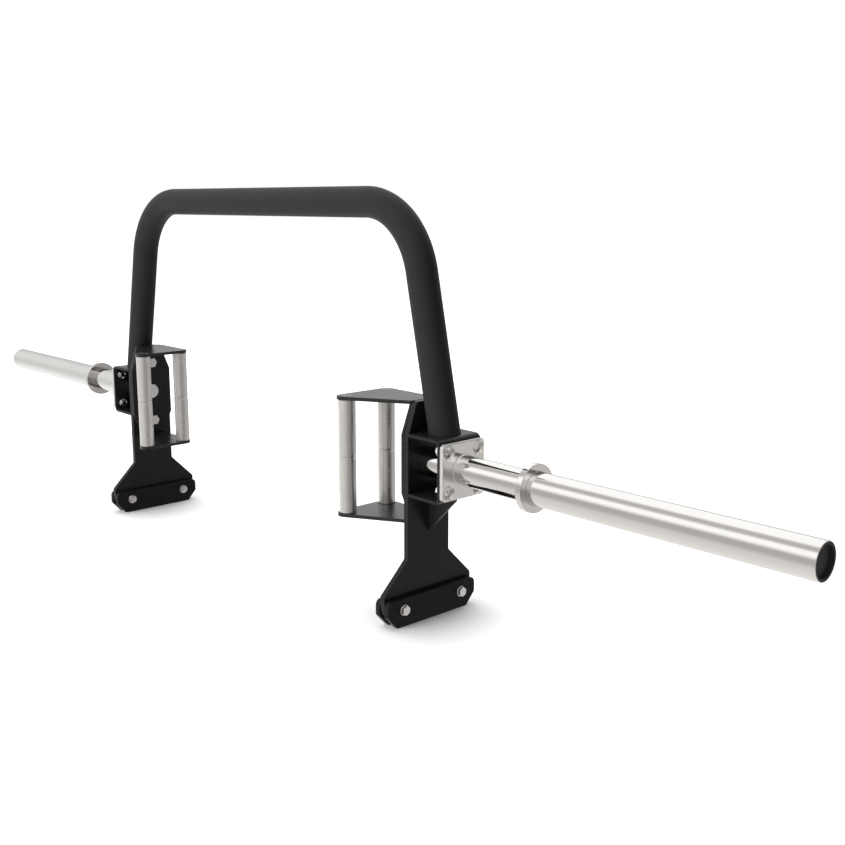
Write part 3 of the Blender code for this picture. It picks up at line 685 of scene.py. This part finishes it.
def knurled_steel():
    """Bare steel grips with a fine diamond knurl."""
    finish, add, shader, place = new_finish("knurled_steel", 0.78)
    x, y, z = split(add, place)
    middle = (FRONT_GRIP_Y + REAR_GRIP_Y) / 2
    across = add.math("SUBTRACT", add.math("ABSOLUTE", x), GRIP_X)
    fore = add.math("SUBTRACT", add.math("ABSOLUTE", add.math("SUBTRACT", y, middle)),
                    REAR_GRIP_Y - middle)
    around = add.math("MULTIPLY", add.math("ARCTAN2", fore, across), GRIP_RADIUS)
    pitch = 2 * math.pi * GRIP_RADIUS / KNURL_COUNT
    diamonds = add.use(GROUPS["knurl"], Around=around, Along=z, Pitch=pitch)
    hands = add.use(GROUPS["handling_marks"], Vector=place, Size=0.02)
    # The knurl's grooves are painted a darker tone: painted shade in the grooves
    edge = add.spread(diamonds["Height"], 0.0, 0.30, 0.0, 1.0)
    worn = add.tint(hands["Smear"], (0.93, 0.92, 0.905), (0.84, 0.828, 0.81))
    steel = add.tint_over(add.math("SUBTRACT", 1.0, edge), worn, (0.76, 0.745, 0.725))
    high = add.math("ABSOLUTE", add.math("SUBTRACT", z, AXIS_HEIGHT))
    held = add.spread(high, GRIP_CLEAR / 2, GRIP_CLEAR / 2 + 0.0004, 0.0, 1.0)
    # The ring groove is smoother and painted a darker tone: painted shade in the groove
    groove = add.spread(high, GROOVE_WIDTH * 0.3, GROOVE_WIDTH * 0.55, 1.0, 0.0)
    steel = add.tint_over(groove, steel, (0.75, 0.74, 0.725))
    add.give(shader["Base Color"], add.tint_over(held, steel, (0.20, 0.195, 0.19)))
    rough = add.math("ADD", add.math("MULTIPLY", hands["Smear"], 0.06), 0.27)
    add.give(shader["Roughness"], add.math("SUBTRACT", rough, add.math("MULTIPLY", groove, 0.18)))
    bump(add, shader, add.math("MAXIMUM", edge, groove), 0.00004, 0.25)
    return finish


def zinc():
    """Bright zinc plate on the fasteners."""
    finish, add, shader, place = new_finish("zinc", 1.0)
    out = add.math("ABSOLUTE", split(add, place)["X"])
    head = add.spread(out, FLANGE_FACE - 0.0100, FLANGE_FACE - 0.0090, 0.0, 0.12)
    hands = add.use(GROUPS["handling_marks"], Vector=place, Size=0.004)
    tone = add.tint(hands["Smear"], (0.93, 0.93, 0.935), (0.86, 0.86, 0.87))
    add.give(shader["Base Color"], tone)
    rough = add.spread(hands["Smear"], 0.0, 1.0, 0.07, 0.14)
    add.give(shader["Roughness"], add.math("ADD", rough, head))
    bump(add, shader, hands["Speck"], 0.00001, 0.4)
    return finish


def small_metal(name, mark, clean, marked, rough, depth, strength):
    """Metal of the hidden rings: one tone, changed by its smears or by its specks."""
    finish, add, shader, place = new_finish(name, 1.0)
    hands = add.use(GROUPS["handling_marks"], Vector=place, Size=0.006)
    add.give(shader["Base Color"], add.tint(hands[mark], clean, marked))
    add.give(shader["Roughness"], add.spread(hands["Smear"], 0.0, 1.0, *rough))
    bump(add, shader, hands["Speck"], depth, strength)
    return finish


POWDER = powder_coat("powder_coat", 0.0165, 0.22, (0.19, 0.36), 0.00009)
# The tube's coat is rougher than the plates' coat and painted a lighter tone: painted light, standing
# in for the light that falls on the tube
TUBE_COAT_PAINTED_LIGHTER = powder_coat("powder_coat_of_the_tube_painted_lighter", 0.0220, 0.17, (0.46, 0.56), 0.00005)
HANDLE_COAT = powder_coat("powder_coat_of_the_handle", 0.0165, 0.60, (0.08, 0.34), 0.00040)
PLASTIC = black_plastic("pad_plastic", 0.0088)
CAP_PLASTIC = black_plastic("cap_plastic", 0.0250)
CHROME = chrome()
FACED = turned_faces()
TURNED = turned_shaft()
KNURLED = knurled_steel()
ZINC = zinc()
# Sintered bronze with open pores, and dark spring steel
BRONZE = small_metal("bronze", "Speck", (0.56, 0.39, 0.21), (0.30, 0.20, 0.11), (0.36, 0.48),
                     -0.00005, 0.5)
SPRING = small_metal("spring_steel", "Smear", (0.17, 0.17, 0.18), (0.25, 0.245, 0.24),
                     (0.34, 0.46), 0.00001, 0.4)


# Pieces


def arch():
    """Half of the tube, bent up and over from the bracket, mirrored and given its wall."""
    low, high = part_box("arch_tube")
    foot = Vector(((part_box("right_sleeve_bracket")[0].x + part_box("right_sleeve_bracket")[1].x) / 2,
                   0, low.z))
    corner = foot + Vector((-ARCH_INSET, 0, ARCH_RISE))
    up = (corner - foot).normalized()
    turn = up.angle(Vector((-1, 0, 0)))
    run = ARCH_BEND * math.tan(turn / 2)
    below = foot - up * 0.02
    put_down()
    bpy.ops.mesh.primitive_circle_add(vertices=96, radius=ARCH_RADIUS, location=below,
                                      rotation=(0, math.atan2(up.x, up.z), 0))
    tube = open_up("arch")
    bpy.ops.mesh.select_all(action="SELECT")
    bend = corner - up * run
    bpy.ops.mesh.extrude_region_move(TRANSFORM_OT_translate={"value": bend - below})
    centre = bend + Vector((-up.z, 0, up.x)) * ARCH_BEND
    bpy.ops.mesh.spin(steps=40, angle=turn, center=centre, axis=(0, 1, 0))
    mesh = bmesh.from_edit_mesh(tube.data)
    over = min(vert.co.x for vert in mesh.verts)
    bpy.ops.mesh.extrude_region_move(TRANSFORM_OT_translate={"value": (-over, 0, 0)})
    bpy.ops.mesh.select_all(action="SELECT")
    bpy.ops.mesh.bisect(plane_co=foot, plane_no=(0, 0, -1), clear_outer=True)
    close_up()
    halves = tube.modifiers.new("other_half", "MIRROR")
    halves.use_clip = True
    halves.merge_threshold = 1e-5
    bpy.ops.object.modifier_apply(modifier=halves.name)
    wall = tube.modifiers.new("wall", "SOLIDIFY")
    wall.thickness = ARCH_WALL
    wall.offset = -1
    bpy.ops.object.modifier_apply(modifier=wall.name)
    tube.data.materials.append(TUBE_COAT_PAINTED_LIGHTER)
    shade(tube)
    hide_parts("arch_tube")
    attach(tube, "frame")


def leg_plate():
    """Upright plate: shoulders to its narrow top, and a flare to the foot."""
    low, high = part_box("right_leg_plate")
    leg = block("leg", low, high)
    toe = PAD_CHAMFER_HEIGHT + low.z
    cut_level(LEG_SHOULDER, FLARE_TOP, FLARE_END, FOOT_TOE_HEIGHT, toe)
    foot = high.y
    widths = {
        high.z: LEG_TOP_WIDTH / 2,
        LEG_SHOULDER: LEG_WIDTH / 2,
        FLARE_TOP: LEG_WIDTH / 2,
        toe: foot - FOOT_TOE_TAPER,
        low.z: foot - FOOT_TOE_TAPER - FOOT_CHAMFER,
    }
    for height, half in widths.items():
        set_half_width(leg, height, half)
    corners = {
        high.z: LEG_TOP_CORNER,
        LEG_SHOULDER: LEG_SHOULDER_CORNER,
        FLARE_TOP: FLARE_CORNER,
        FLARE_END: FLARE_CORNER,
    }
    for height, radius in corners.items():
        round_corners(leg, X, lambda p: same(p.z, height), radius)
    close_up()
    soften(leg, LEG_EDGE)
    fit(leg, "leg_plate", POWDER)


def foot_pad(node):
    """Pad with rounded top corners and chamfered toes."""
    low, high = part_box("right_" + node)
    pad = block(node, low, high)
    cut_level(PAD_CHAMFER_HEIGHT)
    set_half_width(pad, low.z, high.y - FOOT_CHAMFER)
    round_corners(pad, X, lambda p: same(p.z, high.z), PAD_TOP_CORNER)
    for height in (PAD_CHAMFER_HEIGHT, low.z):
        round_corners(pad, X, lambda p: same(p.z, height), PAD_FOOT_CORNER, 4)
    close_up()
    soften(pad, PAD_EDGE)
    fit(pad, node, PLASTIC)


def hexagon(name, centre, flats, low, high, face, points_up=False):
    """Hex head or nut along X, its corners cut back to a round at the given faces."""
    put_down()
    place = Vector(((low + high) / 2, centre[0], centre[1]))
    bpy.ops.mesh.primitive_cylinder_add(vertices=6, radius=flats / math.sqrt(3), depth=high - low,
                                        location=place, rotation=(0, math.pi / 2, 0))
    nut = open_up(name)
    if points_up:
        bpy.ops.mesh.select_all(action="SELECT")
        bpy.ops.transform.rotate(value=math.pi / 6, orient_axis="X", center_override=place)
    close_up()
    wide = 0.6 * flats
    narrow = 0.475 * flats
    cut = (wide - narrow) * math.tan(math.radians(30))
    start = (low, narrow) if low in face else (low - PAST_NUT, wide)
    end = (high, narrow) if high in face else (high + PAST_NUT, wide)
    stations = [start, (low + cut, wide), (high - cut, wide), end]
    combine(nut, turned("rounds", X, (0, *centre), stations, 64), "INTERSECT")
    return nut


def thread(low, high, radius, pitch=0.00125):
    """Stations of a threaded end, from its seat to its chamfered tip at high."""
    stations = [(low, radius)]
    count = max(1, int(abs(high - low) / pitch))
    step = (high - low) / count
    for i in range(count):
        stations.append((low + step * (i + 0.5), radius - THREAD_DEPTH))
        stations.append((low + step * (i + 1), radius))
    stations[-1] = (high, radius - 1.2 * THREAD_DEPTH)
    return stations


def foot_bolts():
    """Collared hex bolt through the front of the foot, its nut on the inner side, and copies."""
    centre = (-FOOT_BOLT_SPACING / 2, FOOT_BOLT_HEIGHT)
    middle = (0, *centre)
    back = Vector((0, FOOT_BOLT_SPACING, 0))
    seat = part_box("right_outer_foot_pad")[1].x
    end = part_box("right_foot_bolt_front")[1].x
    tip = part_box("right_foot_bolt_front")[0].x
    head = hexagon("head", centre, FOOT_BOLT_FLATS, seat, end, (end,), True)
    brim = seat + FOOT_BOLT_COLLAR
    collar = turned("collar", X, middle, [(seat, FOOT_BOLT_COLLAR_RADIUS),
                                         (brim, FOOT_BOLT_COLLAR_RADIUS),
                                         (brim + FOOT_BOLT_SLOPE, FOOT_BOLT_NECK_RADIUS)], 64)
    nut_low, nut_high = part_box("right_foot_nut_front")
    nut_seat, nut_end = nut_high.x, nut_low.x
    stations = [(seat, FOOT_BOLT_RADIUS)] + thread(nut_end, tip, FOOT_BOLT_RADIUS)
    shank = turned("shank", X, middle, stations, 48)
    bolt = join(head, collar, shank)
    soften(bolt, FOOT_BOLT_EDGE, 2)
    nut = hexagon("nut", centre, FOOT_BOLT_FLATS, nut_end, nut_seat, (nut_end,), True)
    bore = FOOT_BOLT_RADIUS + GAP
    drill(nut, X, middle, bore, nut_end, nut_seat, 48, PAST_NUT)
    brim = nut_seat - FOOT_BOLT_COLLAR
    neck = brim - FOOT_BOLT_SLOPE
    washer = turned("washer", X, middle, [(nut_seat, FOOT_BOLT_COLLAR_RADIUS),
                                          (brim, FOOT_BOLT_COLLAR_RADIUS),
                                          (neck, FOOT_BOLT_NECK_RADIUS), (neck, bore),
                                          (nut_seat, bore)], 64, True)
    nut = join(nut, washer)
    soften(nut, FOOT_BOLT_EDGE, 2)
    for piece, kind in ((bolt, "foot_bolt"), (nut, "foot_nut")):
        rear = copy_to(piece, back)
        fit(piece, kind + "_front", ZINC)
        fit(rear, kind + "_rear", ZINC)


def sleeve_bracket():
    """Sheet folded twice: the web with its two sides drawn back to the leg."""
    low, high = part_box("right_sleeve_bracket")
    put_down()
    place = Vector((high.x, 0, AXIS_HEIGHT))
    bpy.ops.mesh.primitive_plane_add(size=1, location=place, rotation=(0, math.pi / 2, 0))
    bpy.context.object.scale = (high.z - low.z, high.y - low.y, 1)
    bracket = open_up("bracket")
    for height in (low.z, high.z):
        pick(bracket, "EDGE", lambda p, e: same(p.z, height) and same(p.x, high.x))
        bpy.ops.mesh.extrude_region_move(TRANSFORM_OT_translate={"value": (low.x - high.x, 0, 0)})
    round_corners(bracket, Y, lambda p: same(p.x, high.x), BRACKET_BEND, 10)
    close_up()
    sheet = bracket.modifiers.new("sheet", "SOLIDIFY")
    sheet.thickness = BRACKET_SHEET
    sheet.offset = -1
    sheet.use_even_offset = True
    bpy.ops.object.modifier_apply(modifier=sheet.name)
    drill(bracket, X, AXIS, HUB_RADIUS + GAP, low.x, high.x)
    soften(bracket, SHEET_EDGE)
    fit(bracket, "sleeve_bracket", POWDER)


def bracket_gusset():
    """Triangle under the bracket."""
    low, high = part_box("right_bracket_gusset")
    gusset = block("gusset", low, high)
    cut_level(high.z - GUSSET_TIP)
    pick(gusset, "VERT", lambda p: same(p.z, low.z) and same(p.x, high.x))
    bpy.ops.transform.translate(value=(low.x + GUSSET_TIP - high.x, 0, 0))
    close_up()
    soften(gusset, PLATE_EDGE)
    fit(gusset, "bracket_gusset", POWDER)


def handle_plates():
    """Plate round the two grips that narrows to the leg; the lower one is a copy."""
    low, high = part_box("right_handle_top_plate")
    low.y = HANDLE_FRONT
    plate = block("handle_plate", low, high)
    pick(plate, "VERT", lambda p: same(p.x, high.x) and same(p.y, low.y))
    bpy.ops.transform.translate(value=(0, -HANDLE_NECK / 2 - low.y, 0))
    for y in (high.y, low.y):
        round_corners(plate, Z, lambda p: same(p.x, low.x) and same(p.y, y), HANDLE_CORNER, 12)
    round_corners(plate, Z, lambda p: same(p.x, high.x) and same(p.y, high.y), HANDLE_NECK_CORNER)
    round_corners(plate, Z, lambda p: same(p.x, high.x) and p.y < 0, HANDLE_NECK_CORNER)
    close_up()
    for y in (FRONT_GRIP_Y, REAR_GRIP_Y):
        drill(plate, Z, (GRIP_X, y, 0), SPIGOT_RADIUS + GAP, low.z, high.z, 96)
    soften(plate, PLATE_EDGE, 2)
    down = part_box("right_handle_bottom_plate")[0].z - low.z
    lower = copy_to(plate, (0, 0, down))
    fit(plate, "handle_top_plate", HANDLE_COAT)
    fit(lower, "handle_bottom_plate", HANDLE_COAT)


def handle_back_plate():
    """Plate between the two, its four corners cut off."""
    low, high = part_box("right_handle_back_plate")
    plate = block("back_plate", low, high)
    half = BACK_PLATE_STRAIGHT / 2
    cut_level(AXIS_HEIGHT - half, AXIS_HEIGHT + half)
    for height in (low.z, high.z):
        set_half_width(plate, height, HANDLE_NECK / 2)
    close_up()
    drill(plate, X, AXIS, SHAFT_BORE, low.x, high.x)
    soften(plate, SHEET_EDGE)
    fit(plate, "handle_back_plate", POWDER)


def handle_bolts():
    """Hex bolt above the shaft, and a copy below it."""
    rise = HANDLE_BOLT_SPACING / 2
    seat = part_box("right_handle_back_plate")[0].x
    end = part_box("right_handle_bolt_upper")[0].x
    centre = (0, AXIS_HEIGHT + rise)
    head = hexagon("head", centre, HANDLE_BOLT_FLATS, end, seat, (end,))
    soften(head, FASTENER_EDGE, 2)
    lower = copy_to(head, (0, 0, -2 * rise))
    fit(head, "handle_bolt_upper", ZINC)
    fit(lower, "handle_bolt_lower", ZINC)


def grips():
    """Front grip with its groove and spigots, and a copy behind it."""
    half = GRIP_CLEAR / 2
    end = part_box("right_front_grip")[1].z - AXIS_HEIGHT
    upper = [
        (GROOVE_WIDTH / 2 - GROOVE_DEPTH, GRIP_RADIUS - GROOVE_DEPTH),
        (GROOVE_WIDTH / 2, GRIP_RADIUS),
        (half - GRIP_EDGE, GRIP_RADIUS),
        (half - GAP, GRIP_RADIUS - GRIP_EDGE),
        (half - GAP, SPIGOT_RADIUS),
        (end - SPIGOT_EDGE, SPIGOT_RADIUS),
        (end, SPIGOT_RADIUS - SPIGOT_EDGE),
    ]
    stations = [(AXIS_HEIGHT - z, r) for z, r in reversed(upper)]
    stations += [(AXIS_HEIGHT + z, r) for z, r in upper]
    grip = turned("grip", Z, (GRIP_X, FRONT_GRIP_Y, 0), stations, 96)
    rear = copy_to(grip, (0, REAR_GRIP_Y - FRONT_GRIP_Y, 0))
    fit(grip, "front_grip", KNURLED)
    fit(rear, "rear_grip", KNURLED)


def screw_centres():
    """Centres of the four flange screws, by name."""
    half = SCREW_SPACING / 2
    return {f"{fore}_{height}": (y, AXIS_HEIGHT + z)
            for fore, y in (("front", -half), ("rear", half))
            for height, z in (("upper", half), ("lower", -half))}


def sleeve_flange():
    """Square plate with rounded corners and four countersunk holes."""
    low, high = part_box("right_sleeve_flange")
    flange = block("flange", low, high)
    round_corners(flange, X, lambda p: True, FLANGE_CORNER, 10)
    close_up()
    soften(flange, FLANGE_EDGE)
    sink = SCREW_SINK_RADIUS - SCREW_RADIUS
    stations = [(low.x - PAST, SCREW_RADIUS), (high.x - sink, SCREW_RADIUS),
                (high.x + PAST_NUT, SCREW_SINK_RADIUS + PAST_NUT)]
    for centre in screw_centres().values():
        combine(flange, turned("sink", X, (0, *centre), stations, 64), "DIFFERENCE")
    drill(flange, X, AXIS, HUB_RADIUS + GAP, low.x, high.x)
    fit(flange, "sleeve_flange", FACED)


def flange_screws():
    """Countersunk screw with a hex socket and the nut behind it, and three copies."""
    centres = screw_centres()
    first, *others = centres
    centre = centres[first]
    middle = (0, *centre)
    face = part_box("right_sleeve_flange")[1].x - SCREW_INSET
    nut_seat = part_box("right_sleeve_bracket")[1].x - BRACKET_SHEET
    nut_end = nut_seat - NUT_HEIGHT
    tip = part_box("right_flange_screw_front_upper")[0].x
    core = SCREW_RADIUS - TOUCH
    wide = SCREW_SINK_RADIUS - SCREW_INSET - TOUCH
    stations = list(reversed(thread(nut_end - NUT_CROWN, tip, core, 0.0015)))
    stations += [(face - wide + SCREW_RADIUS, core), (face - 0.0003, wide),
                 (face, wide - 0.0002), (face - SCREW_DISH, SCREW_DISH_RADIUS)]
    screw = turned("screw", X, middle, stations, 64)
    socket = hexagon("socket", centre, SCREW_SOCKET_FLATS, face - SCREW_SOCKET_DEPTH, face + 0.002,
                     (), True)
    combine(screw, socket, "DIFFERENCE")
    mouth = [(face - depth, radius) for depth, radius in SCREW_MOUTH]
    combine(screw, turned("mouth", X, middle, mouth, 64), "DIFFERENCE")
    nut = hexagon("nut", centre, NUT_FLATS, nut_end, nut_seat, (nut_end, nut_seat))
    bore = SCREW_RADIUS + GAP
    drill(nut, X, middle, bore, nut_end, nut_seat, 64, PAST_NUT)
    end = nut_end - NUT_CROWN
    crown = turned("crown", X, middle, [(nut_end + GAP, NUT_CROWN_RADIUS),
                                        (end + 0.0015, NUT_CROWN_RADIUS),
                                        (end + 0.0006, NUT_CROWN_RADIUS - 0.0005),
                                        (end, NUT_CROWN_RADIUS - 0.0016), (end, bore),
                                        (nut_end + GAP, bore)], 64, True)
    soften(nut, FASTENER_EDGE, 2)
    screw = join(screw, nut, crown)
    copies = {}
    for name in others:
        step = Vector((0, centres[name][0] - centre[0], centres[name][1] - centre[1]))
        copies[name] = copy_to(screw, step)
    fit(screw, "flange_screw_" + first, ZINC)
    for name, piece in copies.items():
        fit(piece, "flange_screw_" + name, ZINC)


def sleeve_shaft():
    """Shaft with chamfered ends and the groove of its retaining ring."""
    low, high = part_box("right_sleeve_shaft")
    clip_low, clip_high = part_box("right_retaining_ring")
    groove = SHAFT_RADIUS - CLIP_SEAT
    stations = [
        (low.x, SHAFT_RADIUS - SHAFT_EDGE),
        (low.x + SHAFT_EDGE, SHAFT_RADIUS),
        (clip_low.x - CLIP_PLAY, SHAFT_RADIUS),
        (clip_low.x - CLIP_PLAY, groove),
        (clip_high.x + CLIP_PLAY, groove),
        (clip_high.x + CLIP_PLAY, SHAFT_RADIUS),
        (high.x - SHAFT_EDGE, SHAFT_RADIUS),
        (high.x, SHAFT_RADIUS - SHAFT_EDGE),
    ]
    shaft = turned("shaft", X, AXIS, stations)
    fit(shaft, "sleeve_shaft", TURNED)


def hub_tube():
    """Fixed tube from the leg through the flange, where it has a fillet, to the collar."""
    low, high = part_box("right_hub_tube")
    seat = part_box("right_sleeve_flange")[1].x + TOUCH
    stations = [(low.x, HUB_RADIUS - HUB_EDGE), (low.x + HUB_EDGE, HUB_RADIUS), (seat, HUB_RADIUS)]
    steps = 10
    for step in range(steps + 1):
        turn = math.pi / 2 * step / steps
        stations.append((seat + HUB_FILLET * (1 - math.cos(turn)),
                         HUB_RADIUS + HUB_FILLET * (1 - math.sin(turn))))
    stations += [(high.x - HUB_EDGE, HUB_RADIUS), (high.x, HUB_RADIUS - HUB_EDGE),
                 (high.x, SHAFT_BORE), (low.x, SHAFT_BORE)]
    hub = turned("hub", X, AXIS, stations, 160, True)
    fit(hub, "hub_tube", CHROME)


def collar():
    """Plate stop: a wide ring with broken edges."""
    low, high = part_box("right_collar")
    bore = SLEEVE_RADIUS + TOUCH
    stations = [(low.x, bore), (low.x, COLLAR_RADIUS), (high.x, COLLAR_RADIUS), (high.x, bore)]
    stop = turned("stop", X, AXIS, stations, 160, True)
    soften(stop, COLLAR_EDGE, 4)
    fit(stop, "collar", FACED, True)


def sleeve():
    """Turning sleeve, bored for its bushings and for the cap at its end."""
    low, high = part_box("right_sleeve")
    cap_low, cap_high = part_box("right_end_cap")
    seat = cap_low.x + CAP_NECK - CAP_GAP
    cap_bore = cap_high.y + GAP
    brow = 0.3 * SLEEVE_EDGE
    stations = [(low.x, SLEEVE_BORE), (low.x, SLEEVE_RADIUS),
                (high.x - SLEEVE_EDGE, SLEEVE_RADIUS), (high.x - brow, SLEEVE_RADIUS - brow),
                (high.x, SLEEVE_RADIUS - SLEEVE_EDGE), (high.x, cap_bore), (seat, cap_bore),
                (seat, SLEEVE_BORE)]
    tube = turned("tube", X, AXIS, stations, 160, True)
    fit(tube, "sleeve", CHROME, True)


def end_cap():
    """Moulded cap: a rounded rim round a dished face."""
    low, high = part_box("right_end_cap")
    outer = high.y
    rim = outer - CAP_RIM
    neck = SLEEVE_BORE - CAP_GAP
    seat = low.x + CAP_NECK
    stations = [(low.x, neck), (seat, neck), (seat, outer), (high.x, outer), (high.x, rim),
                (high.x - CAP_DISH, rim - CAP_DRAFT)]
    cap = turned("cap", X, AXIS, stations, 128)
    soften(cap, CAP_EDGE, 4)
    fit(cap, "end_cap", CAP_PLASTIC, True)


# Studio


def studio_floor():
    """Pale paper: white to the camera; a glow that only the camera sees is painted light over the
    object's shadow, held low round the feet so that the shadow shows there.
    """
    put_down()
    bpy.ops.mesh.primitive_plane_add(size=60)
    floor = bpy.context.active_object
    floor.name = "studio_floor"
    paper = bpy.data.materials.new("pale_paper")
    paper.use_nodes = True
    tree = paper.node_tree
    tree.nodes.remove(tree.nodes["Principled BSDF"])
    add = Nodes(tree)
    rays = tree.nodes.new("ShaderNodeLightPath").outputs
    x, y, _ = split(add, add("ShaderNodeTexCoord", out="Object"))
    beside = add.math("MULTIPLY", add.math("SUBTRACT", add.math("ABSOLUTE", x), FOOT_X), 0.7)
    before = add.math("MAXIMUM", add.math("SUBTRACT", add.math("ABSOLUTE", y), FOOT_REACH), 0.0)
    away = add.length(beside, before)
    # Painted light: the camera-only glow, low round each foot and rising away from it
    camera_glow_painted_light = add.math("ADD", add.spread(away, 0.01, 0.10, *FLOOR_LIFT),
                    add.spread(away, 0.10, 1.5, 0.0, 0.5))
    matt = add("ShaderNodeBsdfDiffuse", (0.80, 0.80, 0.80, 1.0))
    glow = tree.nodes.new("ShaderNodeEmission")
    add.give(glow.inputs["Strength"], add.math("MULTIPLY", rays["Is Camera Ray"], camera_glow_painted_light))
    both = add("ShaderNodeAddShader", matt, glow.outputs[0])
    add.give(tree.nodes["Material Output"].inputs["Surface"], both)
    floor.data.materials.append(paper)
    floor.visible_glossy = False


def studio_round(add, turn, parts, warm):
    """One stretch of the studio, wrapped round the sleeve axis."""
    ramp = add.tree.nodes.new("ShaderNodeValToRGB")
    add.give(ramp.inputs["Fac"], turn)
    stops = ramp.color_ramp.elements
    while len(stops) > 1:
        stops.remove(stops[-1])
    edges = [(edge, level) for low, high, level in parts for edge in sorted({low, high})]
    for index, (degrees, level) in enumerate(edges):
        stop = stops[0] if index == 0 else stops.new((degrees + 180) / 360)
        stop.position = (degrees + 180) / 360
        hue = warm if level < 0.92 else WHITE
        stop.color = (level * hue[0], level * hue[1], level * hue[2], 1.0)
    return ramp.outputs["Color"]


def studio_world():
    """White to the camera, an even level for the light that is lower on the right, and in metal
    a studio of boxes and walls, softer towards the left end and darker towards the right."""
    world = bpy.data.worlds.new("studio")
    bpy.context.scene.world = world
    world.use_nodes = True
    tree = world.node_tree
    tree.nodes.clear()
    add = Nodes(tree)
    way = split(add, add("ShaderNodeTexCoord", out="Generated"))
    turn = add.math("ARCTAN2", add.math("MULTIPLY", way["Y"], -1.0), way["Z"])
    turn = add.spread(turn, -math.pi, math.pi, 0.0, 1.0)
    to_left = add.spread(way["X"], -0.76, -0.88, 0.0, 1.0)
    to_right = add.spread(way["X"], 0.10, 0.55, 0.0, 1.0)
    seen = add.blend(to_left, studio_round(add, turn, MIDDLE_STUDIO, WARM),
                     studio_round(add, turn, LEFT_STUDIO, WHITE))
    seen = add.blend(to_right, seen, studio_round(add, turn, RIGHT_STUDIO, WARM))
    seen = add.blend(add.spread(way["X"], 0.74, 0.86, 0.0, 0.38), seen, (0.0, 0.0, 0.0, 1.0))
    even = add.tint(add.spread(way["X"], -0.10, 0.30, 0.0, 1.0), SKY_LIGHT, SKY_LIGHT_RIGHT)
    rays = tree.nodes.new("ShaderNodeLightPath").outputs
    mirrored = add.math("MAXIMUM", rays["Is Glossy Ray"], rays["Is Transmission Ray"])
    shown = add.blend(mirrored, even, seen)
    shown = add.blend(rays["Is Camera Ray"], shown, (1.0, 1.0, 1.0, 1.0))
    sky = tree.nodes.new("ShaderNodeBackground")
    add.give(sky.inputs["Color"], shown)
    result = tree.nodes.new("ShaderNodeOutputWorld")
    add.give(result.inputs["Surface"], sky.outputs[0])


def soft_box(name, place, aim, size, power):
    """Large soft lamp that the metal doesn't show."""
    lamp = bpy.data.lights.new(name, "AREA")
    lamp.shape = "RECTANGLE"
    lamp.size, lamp.size_y = size
    lamp.energy = power
    holder = bpy.data.objects.new(name, lamp)
    bpy.context.scene.collection.objects.link(holder)
    holder.location = place
    holder.rotation_euler = (Vector(aim) - Vector(place)).to_track_quat("-Z", "Y").to_euler()
    holder.visible_camera = False
    holder.visible_glossy = False


def camera():
    """Camera of the photograph."""
    lens = bpy.data.cameras.new("camera")
    lens.sensor_width = 36.0
    lens.lens = CAMERA_LENS
    lens.clip_start = 0.05
    lens.clip_end = 200.0
    holder = bpy.data.objects.new("camera", lens)
    bpy.context.scene.collection.objects.link(holder)
    holder.location = CAMERA_PLACE
    holder.rotation_euler = [math.radians(degrees) for degrees in CAMERA_TURN]
    bpy.context.scene.camera = holder


arch()
leg_plate()
foot_pad("inner_foot_pad")
foot_pad("outer_foot_pad")
foot_bolts()
sleeve_bracket()
bracket_gusset()
handle_plates()
handle_back_plate()
handle_bolts()
grips()
sleeve_flange()
flange_screws()
sleeve_shaft()
hub_tube()
collar()
sleeve()
end_cap()
for name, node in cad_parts.items():
    if "bushing" in name:
        node.material_slots[0].material = BRONZE
    elif "retaining_ring" in name:
        node.material_slots[0].material = SPRING

studio_floor()
studio_world()
soft_box("overhead", (-0.9, 0.1, 3.0), (0.0, 0, 0.2), (3.6, 4.0), 95)
soft_box("front_fill", (-0.3, -3.0, 0.6), (-0.1, 0, 0.3), (2.4, 1.2), 90)
camera()
bpy.context.scene.view_settings.view_transform = "Standard"
